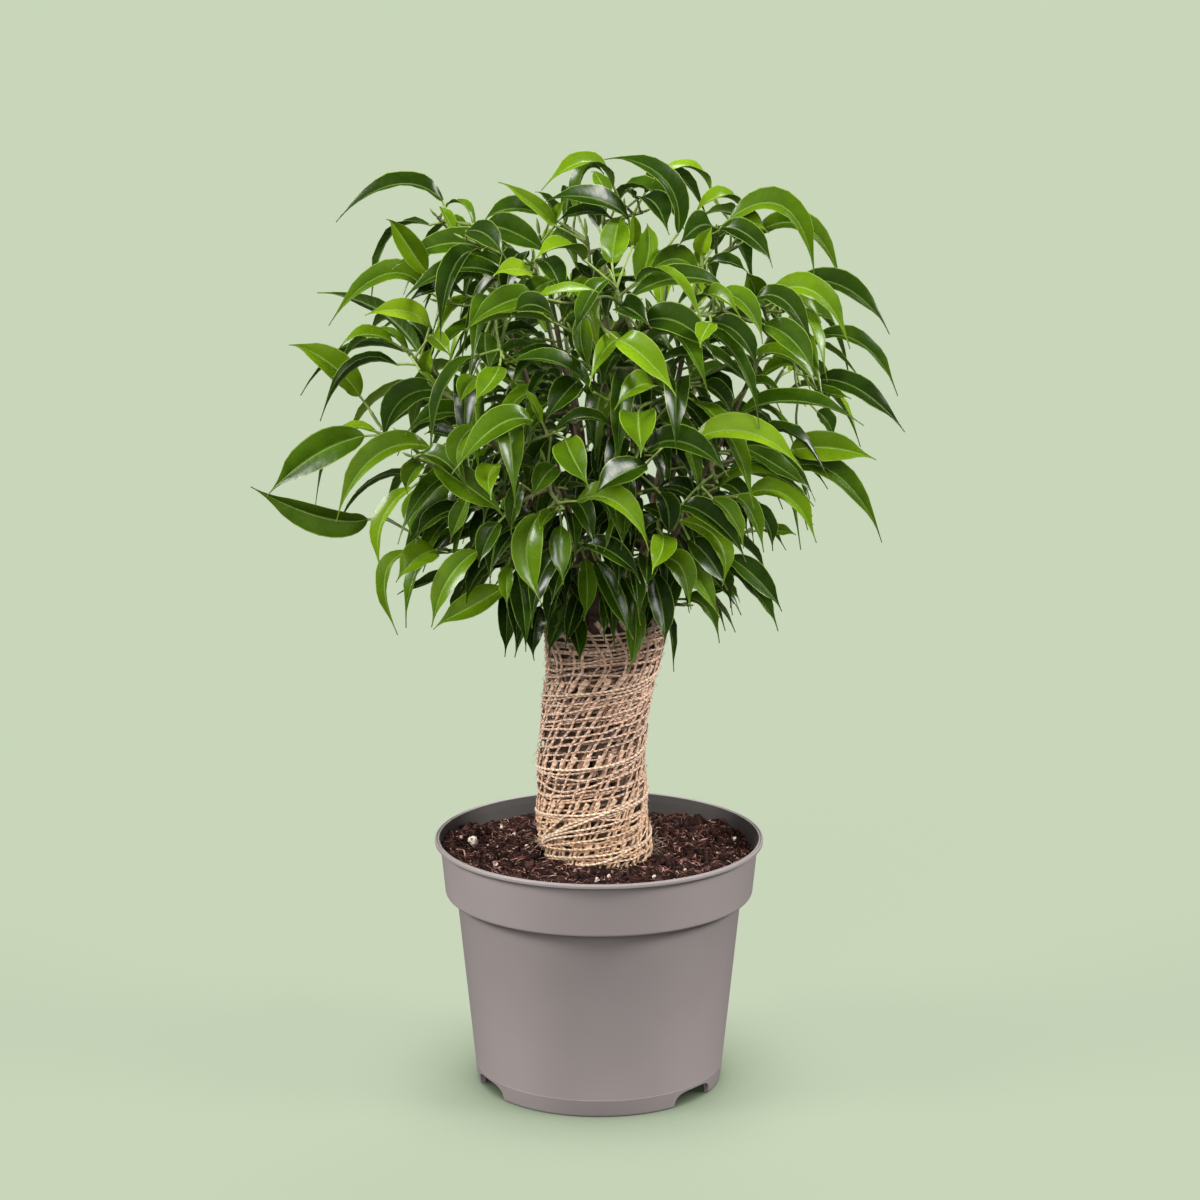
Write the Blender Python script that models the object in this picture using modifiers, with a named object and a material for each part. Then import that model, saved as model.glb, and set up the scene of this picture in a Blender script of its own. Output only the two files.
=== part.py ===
# Potted weeping fig: a grey nursery pot of soil, a bundle of young stems wrapped in jute netting,
# and a dense round crown of arching leaves. Lengths here are in millimetres unless a name says
# otherwise, and meshes are made in metres. The front of the plant faces -Y.
import math
import random

import bmesh
import bpy
import numpy as np
from mathutils.bvhtree import BVHTree

MM = 0.001
GAP = 0.3

# Pot
POT_HEIGHT = 130.2
RIM_RADIUS = 85.0
WALL = 1.6
FOOT_RADIUS = 63.8
WALL_TAPER = 0.1
COLLAR_BOTTOM = 101.5
COLLAR_RADIUS = 79.8
POT_STEPS = 32
FLOOR_TOP = 10.5
PAD_RADIUS = 12.0
FOOT_NOTCHES_DEG = (50.0, 174.0, -63.0)
NOTCH_WIDTH = 28.0
NOTCH_HEIGHT = 8.2
DRAIN_HOLES = 6
DRAIN_HOLE_RADIUS = 4.0
DRAIN_CIRCLE = 40.0

# Soil
SOIL_TOP = 120.5
STEM_HOLE_FLOOR = 62.0
WRAP_SEAT = 103.7
# Room round the wrapped trunk, which leans a little where it stands in the soil
HOLE_PLAY = 0.84

# The wrapped trunk leans in a slight S: height, sideways shift of its middle, outer radius
TRUNK = (
    (104.0, 0.5, 30.8),
    (140.0, -3.5, 29.2),
    (180.0, -3.9, 27.9),
    (215.0, 0.6, 28.7),
    (245.0, 4.5, 32.6),
)
WRAP_THICKNESS = 2.3
NET_RELIEF = 1.6
NET_STEPS = 28
NET_ROWS = 22
WRAP_BOTTOM = 104.0

# Stems: one in the middle, six round it and twelve outside them
PACKING = 5.18
STEM_RADIUS = 4.9
# Where each stem ends in the crown: x, y, z
STEM_ENDS = (
    (2, 6, 452),
    (52, 8, 428),
    (36, 44, 420),
    (-33, 48, 424),
    (-60, 6, 438),
    (-29, -34, 446),
    (-6, -36, 446),
    (94, 26, 370),
    (60, 62, 394),
    (22, 80, 358),
    (-20, 72, 398),
    (-62, 62, 360),
    (-92, 22, 384),
    (-97, -20, 342),
    (-66, -58, 372),
    (-26, -80, 342),
    (19, -74, 410),
    (60, -60, 352),
    (88, -20, 402),
)

# Crown: middle and half sizes of the round head
CROWN_MIDDLE = (-8.0, 0.0, 358.0)
CROWN_HALF = (165.0, 108.0, 128.0)
# The leaves read by hand are drawn on the upright plane through the trunk as seen from this eye point
EYE = np.array((0.0, -1693.0, 643.0))
LEAN = 45.0

# Leaf shape
FOLD_DEG = 22.0
BLADE_THICKNESS = 1.2
TIP_START = 0.86
PETIOLE_RADIUS = 0.72
TWIG_RADIUS = 1.25
LONGEST_PETIOLE = 23.0
CLEAR = 0.4
FILL_LEAVES = 76
FLAT_DEG = 2.0
SEED = 7

# Leaves read by hand on that plane: base x z, middle x z, tip x z, full width, roll in degrees
# (0 shows the upper face, 90 the edge, 180 the underside), how far the tip comes forward,
# how near the front of the crown, and how light a green
LEAVES = (
    (-77.5, 459, -101, 467, -131, 450, 15, 55, 0, 0.25, 0.15),
    (-86, 423, -96, 438, -105, 452, 13, 15, 0.4, 0.55, 0.55),
    (-87, 415, -108, 422, -135.5, 398, 14, 35, 0, 0.5, 0.5),
    (-89.5, 382, -110, 404, -141, 414, 13, 125, 0, 0.1, 0.2),
    (-84.5, 396.5, -98, 404, -117, 402.5, 13, 30, 0.5, 0.75, 0.85),
    (-42, 424, -70, 438, -103, 426, 17, 35, 0, 0.55, 0.3),
    (-47, 420, -72, 425, -99.5, 409, 14, 45, 0, 0.7, 0.25),
    (-67, 412, -80, 415, -97, 408, 12, 50, 0.6, 0.6, 0.1),
    (-78, 456, -75, 449, -68, 436, 9, 50, 0.3, 0.35, 0.6),
    (-75, 458, -66, 456, -62, 441, 9, 65, 0.2, 0.1, 0.5),
    (7, 466.5, -6, 478.5, -28.5, 465.5, 14, 62, 0.5, 0.3, 0.62),
    (5, 462, 1, 468, -3, 475, 9, 20, -0.4, 0.1, 0.5),
    (15, 450, -2, 460, -27, 460.3, 16, 50, 0.4, 0.5, 0.12),
    (-22.5, 447, -33, 457, -50, 470, 10, 35, 0, 0.55, 0.6),
    (-22, 446.5, -20, 453, -16.5, 460, 8, 50, 0.3, 0.5, 0.6),
    (-23, 452, -25, 458, -31, 465, 10, 120, 0.2, 0.35, 0.15),
    (-25, 451, -42, 455, -58, 450, 15, 50, 0.3, 0.3, 0.3),
    (-57, 447, -42, 443, -24, 432, 17, 20, 0.4, 0.65, 0.2),
    (-66, 444, -56, 442, -47, 431, 14, 20, 0.6, 0.75, 0.15),
    (-34, 423, -42, 425, -53, 423, 12, 40, 0.7, 0.85, 0.9),
    (-8, 430, -18, 436, -33, 430, 16, 72, 0.6, 0.7, 0.75),
    (-29, 430, -23, 424, -18, 411, 14, 25, 0.5, 0.7, 0.12),
    (6.5, 428, 8, 440, 11, 453, 17, 5, -0.5, 0.6, 0.62),
    (17, 437, 17.5, 445, 16.5, 454.5, 7, 30, 0.2, 0.65, 0.6),
    (20, 418, 25, 434, 23.5, 449, 15, 25, -0.4, 0.6, 0.5),
    (20, 460.5, 28, 457, 34, 443.5, 17, 38, 0.5, 0.3, 0.08),
    (19, 460, 16, 462.5, 12.5, 465, 7, 60, 0.1, 0.2, 0.15),
    (39.5, 443, 32, 470, 2.5, 481.5, 16, 45, 0, 0.4, 0.2),
    (55.5, 465, 44, 476, 26.5, 469, 10, 68, 0.5, 0.2, 0.85),
    (50, 422, 37, 430, 22, 420, 15, 30, 0.5, 0.45, 0.35),
    (57, 446, 49, 446, 40, 437, 16, 15, 0.7, 0.6, 0.12),
    (61, 417, 36, 420, 11.5, 408, 15, 45, 0.2, 0.8, 0.25),
    (59, 412, 72, 408, 83, 389, 14, 40, 0.3, 0.85, 0.5),
    (49, 408, 58, 412, 71, 402, 13, 50, 0.5, 0.75, 0.42),
    (-22, 398, -44, 401, -68, 395, 15, 78, 0.2, 0.9, 0.75),
    (-33, 410, -47, 408, -67, 396, 16, 30, 0.2, 0.8, 0.35),
    (-43, 402, -33, 407, -21, 400, 14, 35, 0.5, 0.9, 0.1),
    (-32, 410.5, -17, 414, 0, 414.5, 10, 60, 0.4, 0.85, 0.75),
    (-37, 410, -30, 416, -22, 420, 12, 30, 0.5, 0.75, 0.4),
    (-26, 419, -20, 418, -12, 413, 12, 25, 0.5, 0.8, 0.5),
    (4, 420, -5, 410, -12, 393, 12, 30, 0.4, 0.85, 0.25),
    (10, 406, 17, 404, 26, 396, 15, 20, 0.6, 0.8, 0.1),
    (22, 398, 40, 398, 59, 381, 18, 25, 0.3, 0.9, 0.15),
    (30, 378, 45, 382, 62, 378, 12, 60, 0.3, 0.75, 0.2),
    (9.5, 389.5, 22, 381, 39, 362.5, 18, 25, 0.4, 1.0, 0.92),
    (30, 364, 20, 366, 8, 355, 15, 35, 0.6, 0.95, 0.65),
    (20, 353, 20, 345, 22, 331, 20, 0, 0.7, 1.0, 0.6),
    (-17, 339, -13, 329, -5, 315, 17, 0, 0.6, 1.0, 0.55),
    (24, 326, 10, 320, -2, 311, 17, 30, 0.5, 1.0, 0.2),
    (24, 333, 43, 337, 66, 321, 17, 35, 0.2, 0.95, 0.2),
    (-34, 348.5, -52, 345, -74, 322, 17, 30, 0.3, 1.0, 0.5),
    (-50, 376, -55, 367, -63, 359, 14, 30, 0.6, 0.95, 0.6),
    (-60, 371, -66, 366, -70, 357, 12, 30, 0.6, 0.9, 0.55),
    (-57, 393, -57, 384, -55, 374, 13, 10, 0.4, 0.7, 0.3),
    (-8, 402, -9, 388, -4, 374, 12, 20, 0.3, 0.85, 0.4),
    (-3, 363, -22, 378, -47, 378, 14, 55, 0.2, 0.9, 0.25),
    (-11, 378, -28, 383, -47, 380, 12, 70, 0.2, 0.8, 0.05),
    (-10, 369, -18, 361, -27, 349, 16, 20, 0.4, 0.85, 0.15),
    (-29, 348, -33, 357, -38, 366, 6, 40, 0, 0.95, 0.8),
    (-24, 341, -8, 350, 8, 344, 13, 60, 0.3, 0.8, 0.12),
    (-51, 326, -56, 319, -54, 309, 14, 20, 0.5, 0.95, 0.75),
    (-22, 325, -28, 319, -34, 309, 13, 15, 0.5, 0.95, 0.4),
    (-30, 322, -42, 326, -55, 321, 13, 50, 0.4, 0.8, 0.15),
    (-83, 326, -66, 314, -48, 301, 17, 20, 0.2, 1.0, 0.5),
    (-30, 300, -37, 280, -29.5, 255, 17, 0, 0.3, 1.05, 0.6),
    (-22, 302, -27, 298, -30, 291, 8, 30, 0.4, 1.0, 0.6),
    (-19, 294, -20, 281, -18, 265, 12, 10, 0.3, 0.9, 0.55),
    (-7, 277, -6, 262, -7, 246, 11, 5, 0.2, 0.8, 0.5),
    (-11, 307, 9, 306, 26, 283, 17, 40, 0.2, 1.05, 0.95),
    (-8, 285, 7, 280, 22, 266, 14, 30, 0.4, 0.95, 0.15),
    (32, 290, 32, 281, 26, 271, 14, 0, 0.6, 1.0, 0.9),
    (32, 277, 42, 272, 46, 252, 15, 25, 0.3, 1.0, 0.6),
    (27, 270, 32, 252, 34, 233, 13, 10, 0.3, 0.95, 0.1),
    (17, 258, 19, 240, 16, 219, 12, 5, 0.3, 1.0, 0.5),
    (-30, 252, -33, 240, -34, 225, 12, 0, 0.2, 0.6, 0.05),
    (-47, 264, -47, 246, -48, 227, 11, 0, 0.2, 0.7, 0.08),
    (-49, 262, -65, 252, -85, 242, 16, 30, 0.2, 0.9, 0.7),
    (-46, 274, -47, 264, -47, 253, 9, 20, 0.3, 0.9, 0.55),
    (-51, 296, -57, 286, -61, 274, 13, 20, 0.3, 0.95, 0.25),
    (-120.5, 361, -135, 377, -155.5, 388.5, 18, 20, 0, 0.2, 0.6),
    (-103.5, 388, -117, 392, -130, 387, 13, 60, 0, 0.1, 0.6),
    (-118.5, 340.5, -143, 331, -167.5, 311, 20, 15, 0, 0.3, 0.35),
    (-86, 335, -113, 330, -134, 298, 17, 35, 0.3, 0.7, 0.5),
    (-117.5, 297.5, -143, 299.5, -177, 315, 19, -30, 0, 0.2, 0.4),
    (-95, 314, -110, 297, -111.5, 271, 12, 50, 0.2, 0.6, 0.65),
    (-97, 281, -109, 267, -103.5, 238.5, 12, 50, 0.2, 0.5, 0.5),
    (-83, 281.5, -93, 277, -103, 266, 17, 20, 0.6, 0.8, 0.65),
    (-76, 272, -88, 264, -103, 260, 10, 60, 0.2, 0.5, 0.05),
    (-62, 281, -77, 266, -85, 242.5, 14, 25, 0.2, 0.9, 0.6),
    (-68, 303, -82, 299, -94, 287, 13, 40, 0.3, 0.7, 0.1),
    (-85, 312, -94, 304, -96, 291, 12, 30, 0.2, 0.6, 0.5),
    (-81, 364, -100, 358, -109, 337, 17, 30, 0.1, 0.6, 0.2),
    (-66, 349, -80, 352, -98, 342, 14, 40, 0.2, 0.75, 0.25),
    (-90, 374, -80, 365.5, -64, 357, 8, 75, 0, 0.8, 0.8),
    (-86, 372, -86.5, 379, -84, 386, 8, 20, 0.2, 0.75, 0.7),
    (-62, 346, -71, 335, -70, 322, 13, 30, 0.3, 0.95, 0.45),
    (-90, 331, -78, 327, -66, 312, 14, 30, 0.3, 0.95, 0.3),
    (-89, 326, -95, 320, -98, 312, 12, 30, 0.2, 0.8, 0.4),
    (109, 391, 132, 387, 150.5, 362.5, 13, 50, 0, 0.2, 0.25),
    (110, 369, 131, 364, 154, 343.5, 15, 40, 0, 0.3, 0.1),
    (71, 352, 100, 358, 133.5, 347, 17, 60, 0, 0.8, 0.3),
    (48, 338.5, 76, 342, 103.5, 323.5, 18, 38, 0.1, 1.0, 0.95),
    (97, 333, 116, 334.5, 140, 329, 17, 15, 0, 0.5, 0.7),
    (99, 325, 122, 319, 144.5, 287.5, 15, 35, 0, 0.5, 0.35),
    (73, 335, 90, 325, 106, 314, 13, 45, 0.1, 0.9, 0.25),
    (66, 323, 78, 328, 92, 320, 10, 60, 0.2, 0.85, 0.35),
    (60, 314, 83, 321, 109, 306, 12, 65, 0, 0.8, 0.45),
    (76, 311, 96, 309, 110, 286.5, 16, 40, 0, 0.75, 0.75),
    (110, 353, 115, 348, 118.5, 340, 11, 40, 0, 0.4, 0.15),
    (110, 331, 118, 326, 122.5, 318, 10, 40, 0, 0.3, 0.3),
    (76, 381, 94, 381, 110, 366, 13, 60, 0.1, 0.8, 0.45),
    (83, 397, 97, 389, 109, 371, 16, 25, 0.3, 0.85, 0.35),
    (86, 413, 109, 412.5, 125.5, 386, 17, 45, 0, 0.6, 0.62),
    (92, 410, 103, 408, 111, 399, 8, 60, 0, 0.5, 0.6),
    (99, 418, 123, 415.5, 146, 394, 16, 40, 0, 0.35, 0.2),
    (79, 410.5, 94, 408, 108, 384, 14, 35, 0.2, 0.75, 0.15),
    (77, 442, 103, 446, 121.5, 417, 15, 45, 0, 0.2, 0.35),
    (65.5, 450.5, 93, 455, 108.5, 419.5, 17, 42, 0, 0.45, 0.45),
    (70, 457, 60, 461, 46.5, 452.5, 13, 62, 0.3, 0.4, 0.65),
    (68, 452, 60, 454, 50, 451, 12, 110, 0.3, 0.3, 0.5),
    (61, 446, 74, 442, 87.5, 427.5, 14, 35, 0.3, 0.65, 0.12),
    (66, 452, 74, 450, 84, 444, 11, 30, 0.3, 0.3, 0.75),
    (51, 432, 52.5, 439, 57, 447, 10, 10, 0.1, 0.75, 0.7),
    (54, 428, 64, 428.5, 74, 424, 11, 55, 0.2, 0.6, 0.08),
    (78, 409, 77, 417, 73, 424, 14, 10, 0.3, 0.75, 0.45),
    (56, 398, 53, 393, 50, 387, 11, 20, 0.4, 0.95, 0.6),
    (56, 398, 70, 392, 80, 374, 14, 35, 0.2, 0.9, 0.1),
    (72, 363, 82, 367.5, 93, 361, 9, 60, 0.1, 0.6, 0.2),
    (52, 366, 60, 362, 68, 350, 13, 40, 0.2, 0.7, 0.08),
    (58, 308, 67, 299, 74, 284, 12, 40, 0.2, 1.0, 0.5),
    (42, 305, 58, 297, 75.5, 277.5, 16, 30, 0.2, 0.95, 0.15),
    (42, 297, 61, 286, 63.5, 264, 13, 30, 0.3, 1.0, 0.65),
    (70, 309, 77, 301, 84, 282, 12, 40, 0.1, 0.9, 0.35),
    (84, 292, 92, 291.5, 100, 290, 8, 40, 0.1, 0.7, 0.45),
    (76, 305, 85, 296, 88, 282.5, 11, 40, 0.1, 0.6, 0.1),
    (66, 278, 80, 267, 93.5, 251, 14, 30, 0.1, 0.9, 0.2),
    (66, 273, 80, 259, 92, 241, 12, 45, 0.1, 0.95, 0.25),
    (46, 287, 56, 277, 65, 262, 15, 25, 0.2, 0.85, 0.1),
    (42, 279, 51, 266, 61, 247.5, 13, 25, 0.2, 1.0, 0.6),
    (44, 256, 54, 252, 62, 234.5, 11, 40, 0.1, 0.7, 0.4),
    (55, 270, 64, 263, 72.5, 256, 9, 50, 0.1, 0.7, 0.2),
    (-62, 270, -70, 258, -77, 249, 10, 40, 0.1, 0.6, 0.15),
    (-67, 308, -71, 298, -76, 287, 11, 30, 0.1, 0.85, 0.4),
    (16, 320, 14, 303, 12, 283, 11, 15, 0.2, 0.85, 0.35),
    (-12, 280, -22, 272, -31, 260, 13, 30, 0.2, 0.85, 0.15),
    (6, 266, 12, 260, 16, 249, 12, 20, 0.2, 0.8, 0.3),
    (-10, 256, -16, 249, -22, 242, 9, 30, 0.1, 0.7, 0.4),
)


def unit(vector):
    return vector / max(1e-9, float(np.linalg.norm(vector)))


def turned(vector, start, end):
    """The vector carried along by the turn that takes one direction to another."""
    axis = np.cross(start, end)
    sine = float(np.linalg.norm(axis))
    if sine < 1e-6:
        return vector
    axis = axis / sine
    cosine = float(start @ end)
    return vector * cosine + np.cross(axis, vector) * sine + axis * (axis @ vector) * (1 - cosine)


def trunk(height):
    """Sideways shift of the trunk's middle and its outer radius at a height."""
    rows = np.array(TRUNK)
    heights, shifts, radii = rows.T
    return float(np.interp(height, heights, shifts)), float(np.interp(height, heights, radii))


def on_sight_line(x, z, y):
    """The point at depth y on the line from the eye through (x, 0, z)."""
    return EYE + (np.array((x, 0.0, z)) - EYE) * ((y - EYE[1]) / -EYE[1])


def front_depth(x, z):
    across = (x - CROWN_MIDDLE[0]) / CROWN_HALF[0]
    up = (z - CROWN_MIDDLE[2]) / CROWN_HALF[2]
    return -CROWN_HALF[1] * math.sqrt(max(1 - across**2 - up**2, 0.04))


# Leaf geometry: a midrib bent as a quadratic curve, and a folded blade that keeps its side to it
def drawn_leaf(row, shift):
    bx, bz, mx, mz, tx, tz, width, roll, lean, near, tone = row
    base_y = front_depth(bx, bz) * near + shift
    tip_y = base_y - lean * LEAN
    base = on_sight_line(bx, bz, base_y)
    tip = on_sight_line(tx, tz, tip_y)
    middle = on_sight_line(mx, mz, (base_y + tip_y) / 2)
    chord = unit(tip - base)
    towards = EYE - middle
    towards = unit(towards - chord * float(towards @ chord))
    upper = np.cross(towards, chord) * (1.0 if tx >= bx else -1.0)
    turn = math.radians(roll)
    facing = towards * math.cos(turn) + upper * math.sin(turn)
    return {
        "base": base,
        "bend": middle * 2 - (base + tip) / 2,
        "tip": tip,
        "width": width,
        "facing": facing,
        "tone": tone,
        "drawn": True,
    }


def midrib(leaf, u):
    base, bend, tip = leaf["base"], leaf["bend"], leaf["tip"]
    point = base * (1 - u) ** 2 + bend * 2 * u * (1 - u) + tip * u * u
    along = unit((bend - base) * (1 - u) + (tip - bend) * u)
    facing = turned(leaf["facing"], unit(tip - base), along)
    facing = unit(facing - along * float(facing @ along))
    return point, along, facing


def half_width(leaf, u):
    part = u / TIP_START
    body = math.sin(math.pi * part**0.82) ** 0.8 * leaf["width"] / 2 if 0 < part < 1 else 0.0
    return max(body, PETIOLE_RADIUS if u == 0 else 0.9 * (1 - u) + 0.35)


def leaf_ring(leaf, u, extra=0.0):
    point, along, facing = midrib(leaf, u)
    if u == 0 and "root" in leaf:
        # The blade starts on the petiole's own square section
        along = unit(point - leaf["root"])
        facing = unit(facing - along * float(along @ facing))
    side = np.cross(along, facing)
    fold = math.radians(FOLD_DEG) * min(1.0, u * 6)
    half = half_width(leaf, u) + extra
    thick = (PETIOLE_RADIUS if u == 0 else BLADE_THICKNESS / 2) + extra
    lift = facing * half * math.sin(fold)
    return [
        point - side * half * math.cos(fold) + lift,
        point + facing * thick,
        point + side * half * math.cos(fold) + lift,
        point - facing * thick,
    ]


def blade_spread(leaf):
    """Where along the midrib the built blade has its rings, besides its base and its tip."""
    return (0.23, 0.66) if leaf["drawn"] else (0.4,)


def rings_to_mesh(rings, end=None):
    """Four-sided rings joined into a closed mesh, its left and right halves split alike on both faces."""
    points = [p for ring in rings for p in ring]
    faces = [(2, 1, 0), (3, 2, 0)]
    for i in range(len(rings) - 1):
        a, b = 4 * i, 4 * i + 4
        faces += [(a, a + 1, b + 1), (a, b + 1, b), (a + 1, a + 2, b + 1), (a + 2, b + 2, b + 1)]
        faces += [(a + 2, a + 3, b + 3), (a + 2, b + 3, b + 2), (a + 3, a, b + 3), (a, b, b + 3)]
    last = 4 * len(rings) - 4
    if end is None:
        faces += [(last, last + 1, last + 2), (last, last + 2, last + 3)]
    else:
        points.append(end)
        faces += [(last + k, last + (k + 1) % 4, len(points) - 1) for k in range(4)]
    return np.array(points), faces


def tube_rings(line, radii, extra=0.0):
    rings = []
    for i, point in enumerate(line):
        along = unit(line[min(i + 1, len(line) - 1)] - line[max(i - 1, 0)])
        across = unit(np.cross(along, (0.03, 1.0, 0.02)))
        other = np.cross(along, across)
        reach = radii[i] + extra
        ways = (across, other, -across, -other)
        rings.append([point + way * reach for way in ways])
    return rings


def bezier(a, b, c, d, t):
    s = 1 - t
    return a * s**3 + b * 3 * s * s * t + c * 3 * s * t * t + d * t**3


# Stems, each a line of points with a thickness, standing in the bundle and fanning out above it
def bundle_places():
    places = [(0.0, 0.0)]
    places += [(2 * PACKING, math.radians(60 * k)) for k in range(6)]
    places += [(3.863 * PACKING, math.radians(15 + 30 * k)) for k in range(12)]
    return places


def stem_line(index):
    reach, angle = bundle_places()[index]
    narrowest = min(row[2] for row in TRUNK)
    line, radii = [], []
    for height in (STEM_HOLE_FLOOR + GAP,) + tuple(row[0] for row in TRUNK):
        shift, outer = trunk(height)
        scale = outer / narrowest
        place = (math.cos(angle) * reach * scale + shift, math.sin(angle) * reach * scale, height)
        line.append(np.array(place))
        radii.append(STEM_RADIUS if height < 240 else 4.3)
    start = line[-1]
    end = np.array(STEM_ENDS[index], float)
    rise = end[2] - start[2]
    outward = unit(start - line[-2] + (end - start) * 0.1)
    lift = start + outward * rise * 0.38
    arrive = end - unit((end - start) * (1.0, 1.0, 0.9)) * rise * 0.35
    for t, radius in ((0.18, 3.5), (0.38, 2.8), (0.58, 2.3), (0.79, 1.8), (1.0, 1.2)):
        line.append(bezier(start, lift, arrive, end, t))
        radii.append(radius)
    return line, radii


class Plant:
    """What is placed so far: the pieces to keep clear of, and the wood that a leaf may grow from."""

    def __init__(self):
        self.boxes = []
        self.trees = []
        self.owners = []
        self.kinds = []
        self.wood = []
        self.twigs = []
        self.leaves = []

    def hits(self, mesh, skip_wood_of=None):
        points, faces = mesh
        low, high = points.min(axis=0), points.max(axis=0)
        boxes = np.array(self.boxes)
        near = np.all((boxes[:, 0] < high) & (boxes[:, 1] > low), axis=1)
        tree = None
        for i in np.nonzero(near)[0]:
            if self.kinds[i] == "wood" and self.owners[i] == skip_wood_of:
                continue
            if tree is None:
                tree = BVHTree.FromPolygons(points.tolist(), faces)
            if tree.overlap(self.trees[i]):
                return True
        return False

    def add(self, mesh, owner, kind):
        points, faces = mesh
        self.boxes.append((points.min(axis=0), points.max(axis=0)))
        self.trees.append(BVHTree.FromPolygons(points.tolist(), faces))
        self.owners.append(owner)
        self.kinds.append(kind)

    def add_wood(self, line, radii, owner, first=0):
        for i in range(first, len(line) - 1):
            count = max(1, int(np.linalg.norm(line[i + 1] - line[i]) / 4))
            for k in range(count):
                t = k / count
                spot = line[i] * (1 - t) + line[i + 1] * t
                radius = radii[i] * (1 - t) + radii[i + 1] * t
                self.wood.append((spot, unit(line[i + 1] - line[i]), radius, owner))


def drum_mesh(rows, sides):
    """A closed drum through rings given as height, sideways shift and radius, to keep clear of."""
    points, faces = [], []
    for height, shift, radius in rows:
        for k in range(sides):
            angle = 2 * math.pi * k / sides
            points.append((shift + radius * math.cos(angle), radius * math.sin(angle), height))
    for i in range((len(rows) - 1) * sides):
        j = i - i % sides + (i + 1) % sides
        faces += [(i, j, j + sides), (i, j + sides, i + sides)]
    return np.array(points), faces


def blade_meshes(leaf, extra):
    """The blade as it curves and as it is built here, with few rings, both a little larger all round."""
    tip = leaf["tip"] + unit(leaf["tip"] - leaf["bend"]) * extra
    return [
        rings_to_mesh([leaf_ring(leaf, u, extra) for u in spread], tip)
        for spread in ((0.04, 0.16, 0.45, 0.78), (0.04,) + blade_spread(leaf))
    ]


def find_support(plant, leaf):
    """Where the leaf grows from: straight from near wood by its petiole, or by a new twig."""
    base = leaf["base"]
    along = midrib(leaf, 0)[1]
    spots = np.array([w[0] for w in plant.wood])
    ways = np.array([w[1] for w in plant.wood])
    gaps = base - spots
    far = np.linalg.norm(gaps, axis=1)
    heading = gaps / np.maximum(far, 1e-6)[:, None]
    cost = far * (1.7 - 0.7 * (heading @ along)) * (1.3 - 0.3 * (heading * ways).sum(axis=1))
    cost[far < 7] = 1e9
    cost[(heading @ along) < -0.35] += 60
    chosen = []
    for i in np.argsort(cost)[:260]:
        if all(np.linalg.norm(spots[i] - spots[j]) > 7 for j in chosen):
            chosen.append(i)
        if len(chosen) == 16:
            break
    for i in chosen:
        spot, way, radius, owner = plant.wood[i]
        if far[i] <= LONGEST_PETIOLE:
            start = spot + heading[i] * (radius + 0.6)
            test = rings_to_mesh(tube_rings([start, base], [PETIOLE_RADIUS] * 2, CLEAR))
            if not plant.hits(test, owner):
                return owner, spot, None
            continue
        back = unit(along + heading[i] * 0.7)
        node = base - back * 11.0
        span = node - spot
        length = float(np.linalg.norm(span))
        lift = spot + unit(way * 0.8 + span / length) * length * 0.35
        arrive = node - unit(back + np.array((0, 0, 0.25))) * length * 0.3
        line = [bezier(spot, lift, arrive, node, t) for t in (0, 0.48, 1.0)]
        line[-1] = node + unit(node - line[-2]) * 1.4
        thick = min(TWIG_RADIUS, radius * 0.85)
        radii = [thick, thick * 0.9, 0.85]
        clear_line = [spot + unit(line[1] - spot) * (radius + 0.6)] + line[1:]
        if plant.hits(rings_to_mesh(tube_rings(clear_line, radii, CLEAR)), owner):
            continue
        start = node + unit(base - node) * 1.6
        if plant.hits(rings_to_mesh(tube_rings([start, base], [PETIOLE_RADIUS] * 2, CLEAR)), owner):
            continue
        return owner, node, (line, radii)
    return None


def try_leaf(plant, leaf):
    if any(plant.hits(blade) for blade in blade_meshes(leaf, CLEAR)):
        return False
    found = find_support(plant, leaf)
    if found is None:
        return False
    owner, root, twig = found
    if twig:
        plant.twigs.append((owner, twig[0], twig[1]))
        plant.add(rings_to_mesh(tube_rings(twig[0], twig[1], 0.05)), owner, "wood")
        plant.add_wood(twig[0], twig[1], owner, 1)
    leaf["root"] = root
    leaf["owner"] = owner
    plant.leaves.append(leaf)
    start = root + unit(leaf["base"] - root) * 1.6
    plant.add(rings_to_mesh(tube_rings([start, leaf["base"]], [PETIOLE_RADIUS] * 2, 0.02)), owner, "petiole")
    for blade in blade_meshes(leaf, 0.02):
        plant.add(blade, owner, "blade")
    return True


def place_drawn(plant):
    stems = np.array([w[0] for w in plant.wood])
    rows = []
    for row in LEAVES:
        base = drawn_leaf(row, 0)["base"]
        rows.append((float(np.linalg.norm(stems - base, axis=1).min()), row))
    rows.sort(key=lambda item: item[0])
    missed = 0
    for _, row in rows:
        for shift in (0, 5, -5, 10, -10, 16, -16, 23, -23, 31, 40, -31, 50):
            if try_leaf(plant, drawn_leaf(row, shift)):
                break
        else:
            missed += 1
    return missed


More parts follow.
